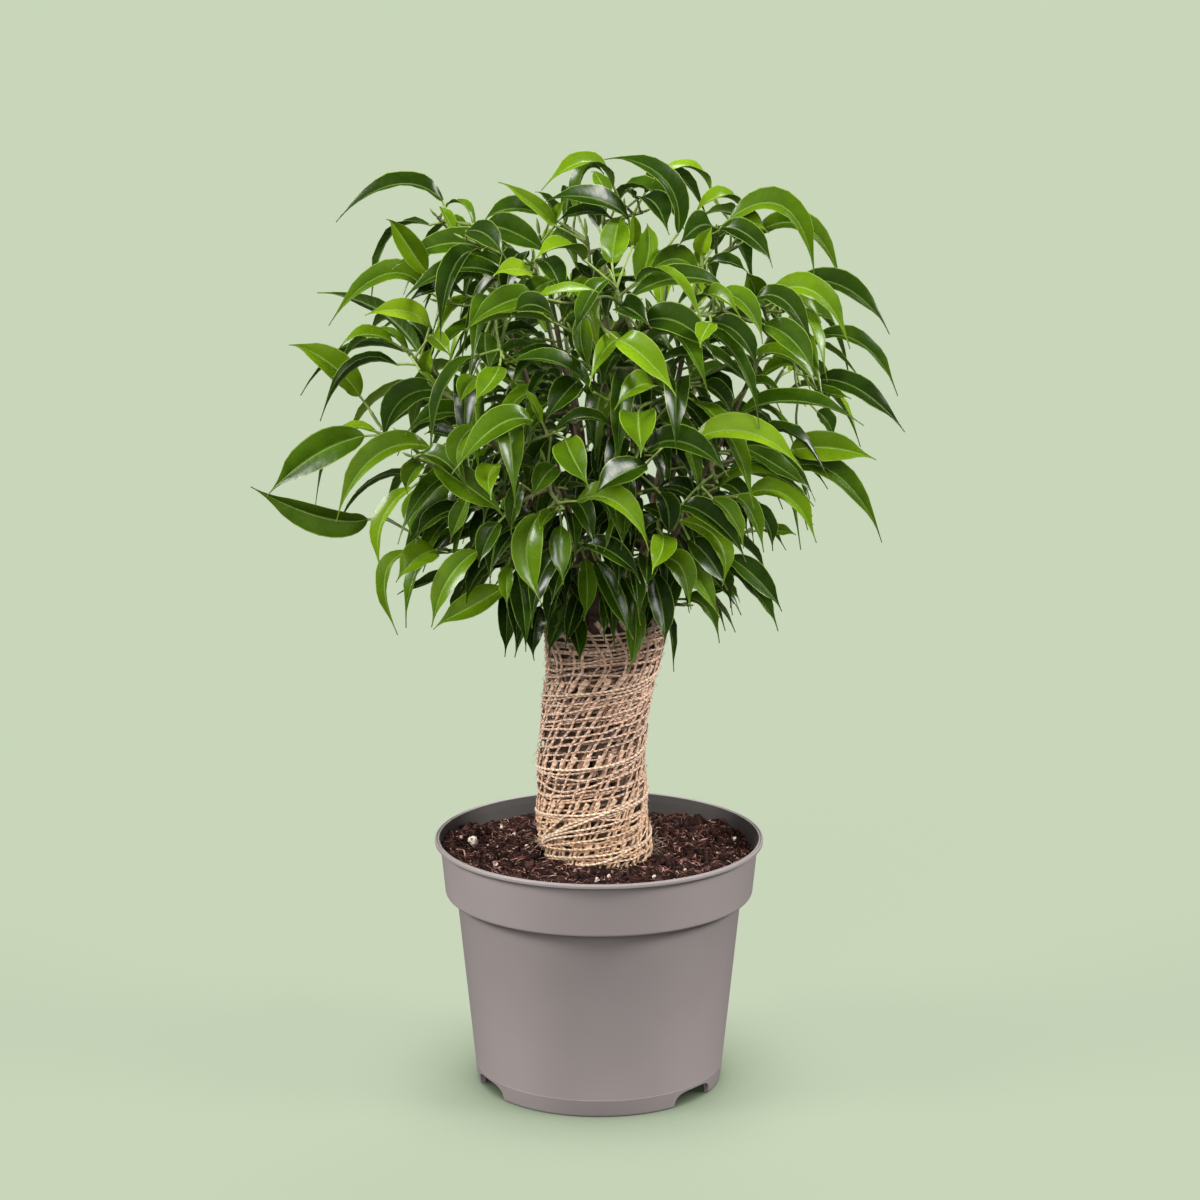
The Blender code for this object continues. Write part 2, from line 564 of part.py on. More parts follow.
def fill_leaf(spot, way, radius, side, chance):
    """A leaf grown sideways from the wood, arching out of the crown and drooping to its tip."""
    outward = (spot - np.array(CROWN_MIDDLE)) * (1.0, 1.25, 0.8)
    outward = unit(outward + np.array((0.0, 0.0, 14.0)))
    across = unit(np.cross(way, outward + np.array((0.01, 0.0, 0.02)))) * side
    jitter = np.array([chance.uniform(-0.35, 0.35) for _ in range(3)])
    heading = unit(outward * 0.8 + across * 0.55 + way * 0.3 + jitter)
    base = spot + heading * (radius + chance.uniform(9.0, 13.0))
    length = chance.uniform(44.0, 60.0)
    level = unit(heading * (1.0, 1.0, 0.35) + np.array((0, 0, 1e-3)))
    droop = chance.uniform(0.35, 0.95)
    tip = base + level * length * math.cos(droop) + np.array((0, 0, -length * math.sin(droop)))
    bend = base + unit(heading + np.array((0, 0, 0.15))) * length * 0.52
    chord = unit(tip - base)
    up = np.array((0.0, 0.0, 1.0)) + outward * 0.4 + across * chance.uniform(-0.5, 0.5)
    facing = unit(up - chord * float(up @ chord))
    tone = min(1.0, max(0.0, chance.gauss(0.34, 0.2)))
    return {
        "base": base,
        "bend": bend,
        "tip": tip,
        "width": chance.uniform(12.5, 17.0),
        "facing": facing,
        "tone": tone,
        "drawn": False,
    }


def inside_crown(leaf):
    for point in (leaf["tip"], leaf["bend"] * 0.5 + (leaf["base"] + leaf["tip"]) * 0.25):
        offset = (point - np.array(CROWN_MIDDLE)) / np.array((150.0, 128.0, 124.0))
        if float(offset @ offset) > 1.0 or point[2] < 236:
            return False
    return True


def place_fill(plant, wanted):
    """Fills the sides, the back and the inside, taking the emptiest place first."""
    chance = random.Random(SEED)
    sites = []
    for k, (spot, way, radius, owner) in enumerate(plant.wood):
        if spot[2] > 268:
            for side in (-1, 1):
                sites.append((spot, way, radius, side, fill_leaf(spot, way, radius, side, chance)))
    centres = [(leaf["base"] + leaf["tip"]) / 2 for leaf in plant.leaves]
    middles = np.array([(s[4]["base"] + s[4]["tip"]) / 2 for s in sites])
    room = np.full(len(sites), 1e9)
    for centre in centres:
        room = np.minimum(room, np.linalg.norm(middles - centre, axis=1))
    placed = 0
    while placed < wanted and room.max() > 0:
        i = int(np.argmax(room))
        spot, way, radius, side, leaf = sites[i]
        room[i] = -1
        for attempt in range(5):
            if attempt:
                leaf = fill_leaf(spot, way, radius, side, chance)
            if inside_crown(leaf) and try_leaf(plant, leaf):
                placed += 1
                centre = (leaf["base"] + leaf["tip"]) / 2
                room = np.minimum(room, np.linalg.norm(middles - centre, axis=1))
                break
    return placed


def grow_plant():
    plant = Plant()
    stems = [stem_line(k) for k in range(len(STEM_ENDS))]
    for k, (line, radii) in enumerate(stems):
        # A square tube must be this much wider to hold the stem's round one
        wide = [radius * 1.3 for radius in radii[4:]]
        plant.add(rings_to_mesh(tube_rings(line[4:], wide, 0.1)), k, "wood")
        plant.add_wood(line, radii, k, 6)
    wrap_rows = [(height, shift, outer + CLEAR) for height, shift, outer in TRUNK]
    wrap_rows.append((248.5,) + wrap_rows[-1][1:])
    plant.add(drum_mesh(wrap_rows, NET_STEPS), -1, "wrap")
    missed = place_drawn(plant)
    placed = place_fill(plant, FILL_LEAVES)
    print(f"{len(plant.leaves)} leaves, {missed} missed, {placed} fill, {len(plant.twigs)} twigs")
    return stems, plant


# Blender objects
def material(name, color, roughness):
    made = bpy.data.materials.new(name)
    made.use_nodes = True
    shader = made.node_tree.nodes["Principled BSDF"]
    shader.inputs["Base Color"].default_value = (*color, 1.0)
    shader.inputs["Roughness"].default_value = roughness
    made.diffuse_color = (*color, 1.0)
    return made


def new_object(name, mesh, home, look=None):
    made = bpy.data.objects.new(name, mesh)
    home.objects.link(made)
    if look:
        mesh.materials.clear()
        mesh.materials.append(look)
    return made


def closed_object(name, mesh, home, look=None):
    """An object of points in millimetres and triangles, its faces turned to face out."""
    points, faces = mesh
    data = bpy.data.meshes.new(name)
    data.from_pydata([tuple(p * MM) for p in points], [], faces)
    data.update()
    shell = bmesh.new()
    shell.from_mesh(data)
    bmesh.ops.recalc_face_normals(shell, faces=shell.faces)
    shell.to_mesh(data)
    shell.free()
    return new_object(name, data, home, look)


def evaluated_mesh(obj, weld=0.0):
    """The mesh that an object's modifiers or curve make, with points nearer than weld joined."""
    graph = bpy.context.evaluated_depsgraph_get()
    graph.update()
    data = bpy.data.meshes.new_from_object(obj.evaluated_get(graph))
    if weld:
        shell = bmesh.new()
        shell.from_mesh(data)
        bmesh.ops.remove_doubles(shell, verts=shell.verts, dist=weld)
        bmesh.ops.recalc_face_normals(shell, faces=shell.faces)
        shell.to_mesh(data)
        shell.free()
    return data


def turned_object(name, profile, steps, home, look, closed=False):
    """A profile in millimetres at +X, turned round the upright axis by a Screw."""
    data = bpy.data.meshes.new(name)
    edges = [(i, i + 1) for i in range(len(profile) - 1)]
    if closed:
        edges.append((len(profile) - 1, 0))
    data.from_pydata([(x * MM, 0.0, z * MM) for x, z in profile], edges, [])
    made = new_object(name, data, home, look)
    screw = made.modifiers.new("turn", "SCREW")
    screw.steps = steps
    screw.render_steps = steps
    screw.use_merge_vertices = True
    screw.merge_threshold = 0.00005
    screw.use_normal_calculate = True
    return made


def tube_object(name, line, radii, sides, home):
    """A tapering tube: a poly curve with a round bevel and filled ends, made into a welded mesh."""
    curve = bpy.data.curves.new(name, "CURVE")
    curve.dimensions = "3D"
    curve.bevel_depth = MM
    curve.bevel_resolution = sides // 2 - 2
    curve.use_fill_caps = True
    spline = curve.splines.new("POLY")
    spline.points.add(len(line) - 1)
    for point, spot, radius in zip(spline.points, line, radii):
        point.co = (*(spot * MM), 1.0)
        point.radius = radius
    guide = new_object(name + "_line", curve, home)
    data = evaluated_mesh(guide, 0.000002)
    bpy.data.objects.remove(guide)
    bpy.data.curves.remove(curve)
    return new_object(name, data, home)


def volume_of(shell, faces):
    total = 0.0
    for face in faces:
        corners = [v.co for v in face.verts]
        for k in range(1, len(corners) - 1):
            total += corners[0].dot(corners[k].cross(corners[k + 1])) / 6
    return total


def drop_scraps(obj):
    """Keeps the largest closed piece of a joined mesh: a sealed hollow is filled, a loose scrap goes."""
    shell = bmesh.new()
    shell.from_mesh(obj.data)
    bmesh.ops.triangulate(shell, faces=shell.faces)
    bmesh.ops.dissolve_degenerate(shell, dist=0.000001, edges=shell.edges)
    bmesh.ops.triangulate(shell, faces=shell.faces)
    flat = math.radians(FLAT_DEG)
    bmesh.ops.dissolve_limit(shell, angle_limit=flat, verts=shell.verts, edges=shell.edges)
    bmesh.ops.triangulate(shell, faces=shell.faces)
    left = set(shell.faces)
    groups = []
    while left:
        stack = [left.pop()]
        group = list(stack)
        while stack:
            face = stack.pop()
            for edge in face.edges:
                for other in edge.link_faces:
                    if other in left:
                        left.discard(other)
                        stack.append(other)
                        group.append(other)
        groups.append(group)
    groups.sort(key=lambda group: -abs(volume_of(shell, group)))
    for group in groups[1:]:
        bmesh.ops.delete(shell, geom=group, context="FACES")
    loose = [v for v in shell.verts if not v.link_faces]
    bmesh.ops.delete(shell, geom=loose, context="VERTS")
    shell.to_mesh(obj.data)
    shell.free()
    return len(groups) - 1


def join_repeats(obj, helpers):
    """One union of the object with everything in the helper collection, applied, and the helpers removed."""
    union = obj.modifiers.new("join", "BOOLEAN")
    union.operation = "UNION"
    union.operand_type = "COLLECTION"
    union.collection = helpers
    union.solver = "MANIFOLD"
    data = evaluated_mesh(obj)
    obj.modifiers.clear()
    looks = list(obj.data.materials)
    obj.data = data
    data.materials.clear()
    data.materials.append(looks[0])
    for helper in list(helpers.objects):
        bpy.data.objects.remove(helper)
    bpy.data.collections.remove(helpers)


def build_pot(home, cutters, look):
    inner = FOOT_RADIUS - WALL
    step = COLLAR_BOTTOM
    at_step = FOOT_RADIUS + WALL_TAPER * step
    profile = [
        (0.0, FLOOR_TOP),
        (inner - 2.0, FLOOR_TOP),
        (inner + WALL_TAPER * FLOOR_TOP + 0.2, FLOOR_TOP + 1.6),
        (inner + WALL_TAPER * step, step + 1.0),
        (COLLAR_RADIUS - 1.9, step + 1.8),
        (RIM_RADIUS - 4.1, POT_HEIGHT - 3.0),
        (RIM_RADIUS - 2.2, POT_HEIGHT - 0.2),
        (RIM_RADIUS - 0.9, POT_HEIGHT),
        (RIM_RADIUS, POT_HEIGHT - 0.9),
        (RIM_RADIUS - 0.1, POT_HEIGHT - 2.0),
        (RIM_RADIUS - 2.7, POT_HEIGHT - 2.9),
        (COLLAR_RADIUS, step + 1.2),
        (COLLAR_RADIUS - 0.9, step),
        (at_step, step),
        (FOOT_RADIUS - 0.1, 1.0),
        (FOOT_RADIUS - 1.0, 0.0),
        (FOOT_RADIUS - 2.6, 0.0),
        (FOOT_RADIUS - 3.0, FLOOR_TOP - 1.8),
        (PAD_RADIUS + 0.8, FLOOR_TOP - 1.8),
        (PAD_RADIUS, 0.0),
        (0.0, 0.0),
    ]
    pot = turned_object("pot", profile, POT_STEPS, home, look)
    for k, degrees in enumerate(FOOT_NOTCHES_DEG):
        angle = math.radians(degrees - 90)
        radius = NOTCH_WIDTH / 2
        bpy.ops.mesh.primitive_cylinder_add(vertices=16, radius=radius * MM, depth=14 * MM)
        cut = bpy.context.object
        cut.name = f"notch_cutter_{k}"
        cut.rotation_euler = (math.pi / 2, 0.0, angle + math.pi / 2)
        cut.scale = (1.0, NOTCH_HEIGHT / radius, 1.0)
        middle = FOOT_RADIUS + 1.7
        cut.location = (middle * MM * math.cos(angle), middle * MM * math.sin(angle), -0.37 * MM)
        for vertex in cut.data.vertices:
            vertex.co.x = squared(vertex.co.x / (radius * MM)) * radius * MM
            vertex.co.y = squared(vertex.co.y / (radius * MM)) * radius * MM
        set_cutter(cut, cutters)
        cut_away(pot, cut)
    for k in range(DRAIN_HOLES):
        angle = math.radians(360 / DRAIN_HOLES * (k + 0.5))
        radius = DRAIN_HOLE_RADIUS * MM
        bpy.ops.mesh.primitive_cylinder_add(vertices=8, radius=radius, depth=12 * MM)
        cut = bpy.context.object
        cut.name = f"drain_cutter_{k}"
        x, y = DRAIN_CIRCLE * math.cos(angle), DRAIN_CIRCLE * math.sin(angle)
        cut.location = (x * MM, y * MM, FLOOR_TOP * MM)
        set_cutter(cut, cutters)
        cut_away(pot, cut)
    return pot


def squared(share):
    """A share of a round outline's radius, pushed out towards a rounded square's."""
    return math.copysign(abs(share) ** 0.6, share)


def set_cutter(cut, cutters):
    for place in list(cut.users_collection):
        place.objects.unlink(cut)
    cutters.objects.link(cut)
    cut.hide_render = True
    cut.display_type = "WIRE"


def cut_away(obj, cutter):
    cut = obj.modifiers.new(cutter.name, "BOOLEAN")
    cut.operation = "DIFFERENCE"
    cut.object = cutter
    # The exact solver leaves a few open edges where the notches meet the foot
    cut.solver = "MANIFOLD"


def soil_height(x, y):
    """The uneven top of the soil, a little heaped round the trunk."""
    far = math.hypot(x, y)
    waves = 1.1 * math.sin(0.11 * x + 0.7) * math.cos(0.09 * y - 0.4)
    waves += 0.7 * math.sin(0.23 * x - 0.17 * y + 2.0)
    heap = 1.6 * math.exp(-(((far - 34) / 16) ** 2))
    dip = 0.8 * math.exp(-(((far - 80) / 9) ** 2))
    return SOIL_TOP + waves + heap - dip


def collar_inside(height):
    """The radius of the collar's inner face at a height."""
    low, high = COLLAR_BOTTOM + 1.8, POT_HEIGHT - 3.0
    return float(np.interp(height, (low, high), (COLLAR_RADIUS - 1.9, RIM_RADIUS - 4.1)))


def build_soil(home, look):
    inner = FOOT_RADIUS - WALL
    at_step = inner + WALL_TAPER * COLLAR_BOTTOM
    wide = trunk(WRAP_SEAT)[1] + HOLE_PLAY
    narrow = wide - WRAP_THICKNESS - 0.4
    # The collar's inner face at the soil's edge
    top_radius = collar_inside(SOIL_TOP) - GAP - 0.4
    profile = [
        (0.0, STEM_HOLE_FLOOR),
        (narrow, STEM_HOLE_FLOOR),
        (narrow, WRAP_SEAT),
        (wide, WRAP_SEAT),
        (wide, SOIL_TOP),
        (wide + 14, SOIL_TOP),
        (wide + 31, SOIL_TOP),
        (top_radius, SOIL_TOP),
        (COLLAR_RADIUS - 1.9 - GAP - 0.2, COLLAR_BOTTOM + 2.2),
        (at_step - GAP - 0.1, COLLAR_BOTTOM + 1.4),
        (inner + WALL_TAPER * FLOOR_TOP - GAP, FLOOR_TOP + 1.8),
        (inner - 2.2, FLOOR_TOP + GAP),
        (0.0, FLOOR_TOP + GAP),
    ]
    soil = turned_object("soil", profile, POT_STEPS, home, look)
    data = evaluated_mesh(soil, 0.00001)
    soil.modifiers.clear()
    soil.data = data
    for vertex in data.vertices:
        x, y, z = (c / MM for c in vertex.co)
        far = math.hypot(x, y)
        if far < wide + 1:
            # The hole follows the trunk sideways
            lean = trunk(z)[0]
            vertex.co.x += lean * MM
            x += lean
        if abs(z - SOIL_TOP) < 0.01:
            vertex.co.z = soil_height(x, y) * MM
    return soil


def build_wrap(home, look):
    """The netting as a sleeve with a raised net, larger than life, that follows the trunk's bend."""
    top = TRUNK[-1][0] - 1.0
    rows = [WRAP_BOTTOM + (top - WRAP_BOTTOM) * k / NET_ROWS for k in range(NET_ROWS + 1)]
    levels = [WRAP_BOTTOM] + [row[0] for row in TRUNK[1:-1]] + [top]
    # The outer wall is turned at 40 and the inner at 30, and each point is then put in its place
    profile = [(40.0, z) for z in reversed(rows)] + [(30.0, z) for z in levels]
    wrap = turned_object("jute_wrap", profile, NET_STEPS, home, look, closed=True)
    data = evaluated_mesh(wrap, 0.00001)
    wrap.modifiers.clear()
    wrap.data = data
    for vertex in data.vertices:
        x, y, z = (c / MM for c in vertex.co)
        angle = math.atan2(y, x)
        shift, outer = trunk(z)
        reach = outer - WRAP_THICKNESS - 0.05
        if math.hypot(x, y) > 35:
            row = round((z - WRAP_BOTTOM) / (top - WRAP_BOTTOM) * NET_ROWS)
            column = round(angle / (2 * math.pi) * NET_STEPS)
            hole = row % 2 == 1 and column % 2 == 1
            crossing = row % 2 == 0 and column % 2 == 0
            reach = outer - (NET_RELIEF if hole else 0.0 if crossing else 0.25)
        lift = 0.0
        if z > 236:
            lift = 2.2 * math.sin(angle * 2 + 0.6) * (z - 236) / (top - 236)
        x, y = shift + reach * math.cos(angle), reach * math.sin(angle)
        vertex.co = (x * MM, y * MM, (z + lift) * MM)
    return wrap


def build_stem(index, line, radii, plant, home, look):
    name = f"leafy_stem_{index + 1:02d}"
    stem = tube_object(name, line, radii, 6, home)
    stem.data.materials.clear()
    stem.data.materials.append(look)
    helpers = bpy.data.collections.new(name + "_repeats")
    bpy.context.scene.collection.children.link(helpers)
    for k, (owner, twig, thick) in enumerate(plant.twigs):
        if owner == index:
            tube_object(f"{name}_twig_{k}", twig, thick, 4, helpers)
    for k, leaf in enumerate(plant.leaves):
        if leaf["owner"] != index:
            continue
        first = leaf_ring(leaf, 0.0)
        root = [point - leaf["base"] + leaf["root"] for point in first]
        rings = [root, first] + [leaf_ring(leaf, u) for u in blade_spread(leaf)]
        closed_object(f"{name}_leaf_{k}", rings_to_mesh(rings, leaf["tip"]), helpers)
    join_repeats(stem, helpers)
    scraps = drop_scraps(stem)
    print(name, len(stem.data.polygons), "faces, scraps dropped", scraps)
    return stem


def clear_scene():
    for obj in list(bpy.data.objects):
        bpy.data.objects.remove(obj)
    for old in list(bpy.data.collections):
        bpy.data.collections.remove(old)


def shade_round(obj):
    for polygon in obj.data.polygons:
        polygon.use_smooth = True


def main():
    clear_scene()
    home = bpy.data.collections.new("potted_weeping_fig")
    cutters = bpy.data.collections.new("cutters")
    bpy.context.scene.collection.children.link(home)
    bpy.context.scene.collection.children.link(cutters)
    pot = build_pot(home, cutters, material("pot_plastic", (0.26, 0.22, 0.215), 0.55))
    build_soil(home, material("soil_peat", (0.035, 0.018, 0.012), 0.95))
    build_wrap(home, material("jute_netting", (0.5, 0.33, 0.22), 0.9))
    shade_round(pot)
    stems, plant = grow_plant()
    greens = [(0.03, 0.12, 0.015), (0.06, 0.2, 0.02), (0.11, 0.28, 0.03)]
    for k, (line, radii) in enumerate(stems):
        look = material(f"leafy_stem_{k + 1:02d}_green", greens[k % 3], 0.45)
        build_stem(k, line, radii, plant, home, look)


main()
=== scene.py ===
# Potted weeping fig, in full detail: each leaf with its veins and drip tip, bark on the stems,
# netting of separate jute yarns, crumbly soil with perlite, and a grey nursery pot. Lengths here
# are in millimetres unless a name says otherwise, and meshes are made in metres.
import math
import random

import bmesh
import bpy
import numpy as np
from mathutils import Euler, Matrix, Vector, noise
from mathutils.bvhtree import BVHTree


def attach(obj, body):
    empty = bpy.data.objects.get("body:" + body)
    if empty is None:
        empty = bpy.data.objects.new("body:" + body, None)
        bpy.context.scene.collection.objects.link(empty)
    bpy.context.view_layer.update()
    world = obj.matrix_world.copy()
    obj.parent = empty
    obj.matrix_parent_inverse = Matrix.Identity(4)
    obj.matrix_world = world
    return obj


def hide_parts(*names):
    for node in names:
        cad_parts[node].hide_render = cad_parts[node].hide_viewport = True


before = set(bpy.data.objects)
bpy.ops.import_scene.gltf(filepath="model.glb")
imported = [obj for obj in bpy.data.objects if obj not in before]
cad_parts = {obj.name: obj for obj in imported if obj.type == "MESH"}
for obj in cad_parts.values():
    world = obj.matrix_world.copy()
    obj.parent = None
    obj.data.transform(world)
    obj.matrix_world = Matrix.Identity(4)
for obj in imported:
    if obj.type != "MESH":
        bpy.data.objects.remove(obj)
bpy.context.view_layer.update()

MM = 0.001
GAP = 0.3

# Pot
POT_HEIGHT = 130.2
RIM_RADIUS = 85.0
WALL = 1.6
FOOT_RADIUS = 63.8
WALL_TAPER = 0.1
COLLAR_BOTTOM = 101.5
COLLAR_RADIUS = 79.8
POT_STEPS = 192
FLOOR_TOP = 10.5
PAD_RADIUS = 12.0
FOOT_NOTCHES_DEG = (50.0, 174.0, -63.0)
NOTCH_WIDTH = 28.0
NOTCH_HEIGHT = 8.2
DRAIN_HOLES = 6
DRAIN_HOLE_RADIUS = 4.0
DRAIN_CIRCLE = 40.0

# Soil
SOIL_TOP = 120.5
STEM_HOLE_FLOOR = 62.0
WRAP_SEAT = 103.7

# The wrapped trunk leans in a slight S: height, sideways shift of its middle, outer radius
TRUNK = (
    (104, 0.5, 30.8),
    (140, -3.5, 29.2),
    (180, -3.9, 27.9),
    (215, 0.6, 28.7),
    (245, 4.5, 32.6),
)
# Sides of the drum that leaves keep clear of, where the netting is
NET_STEPS = 28
NET_TOP = 248.5

# Stems: one in the middle, six round it and twelve outside them
PACKING = 5.18
STEM_RADIUS = 4.9
TOP_STEM_RADIUS = 4.3
# How a stem thins on its way from the netting to its end: share of the way, radius
STEM_THINNING = (
    (0.18, 3.5),
    (0.38, 2.8),
    (0.58, 2.3),
    (0.79, 1.8),
    (1.0, 1.2),
)
# Where each stem ends in the crown: x, y, z
STEM_ENDS = (
    (2, 6, 452),
    (52, 8, 428),
    (36, 44, 420),
    (-33, 48, 424),
    (-60, 6, 438),
    (-29, -34, 446),
    (-6, -36, 446),
    (94, 26, 370),
    (60, 62, 394),
    (22, 80, 358),
    (-20, 72, 398),
    (-62, 62, 360),
    (-92, 22, 384),
    (-97, -20, 342),
    (-66, -58, 372),
    (-26, -80, 342),
    (19, -74, 410),
    (60, -60, 352),
    (88, -20, 402),
)

# Crown: middle and half sizes of the round head
CROWN_MIDDLE = (-8.0, 0.0, 358.0)
CROWN_HALF = (165.0, 108.0, 128.0)
# The leaves read one by one are drawn on the upright plane through the trunk, seen from this eye point
EYE = np.array((0.0, -1693.0, 643.0))
LEAN = 45.0
VIEW_DEG = 20.0
LOOK_DOWN_DEG = 12.89
CAMERA_SHIFT = 0.5

# Leaf shape
FOLD_DEG = 22.0
BLADE_THICKNESS = 1.2
TIP_START = 0.86
PETIOLE_RADIUS = 0.72
TWIG_RADIUS = 1.25
LONGEST_PETIOLE = 23.0
# A new twig ends this far before its leaf
TWIG_END = 11.0
# Petioles and twigs are tested from a little outside the wood or the node that they grow from
OFF_WOOD = 0.6
OFF_NODE = 1.6
# Places on the wood that a leaf may grow from: how closely they are noted, how far they lie from
# the leaf and from each other at least, how many are looked at and how many of them are tried
WOOD_SPACING = 4
SUPPORT_GAP = 7
SUPPORTS_SEEN = 260
SUPPORTS_TRIED = 16
CLEAR = 0.4
FILL_LEAVES = 76
SEED = 7
# How much nearer or further a leaf read one by one may be moved until it crosses nothing
SHIFTS = (0, 5, -5, 10, -10, 16, -16, 23, -23, 31, 40, -31, 50)
EXTRA_SHIFTS = (0, 5, -5, 10, -10, 16, -16, 23, 31, 40)
# Room for a crown leaf from the seeded rule: half sizes round the crown's middle, lowest point
FILL_HALF = (150.0, 128.0, 124.0)
FILL_BOTTOM = 236.0
FILL_WOOD = 268
UP = np.array((0.0, 0.0, 1.0))
# A direction that nothing here runs along, to turn tubes by
ASIDE = (0.03, 1.0, 0.02)
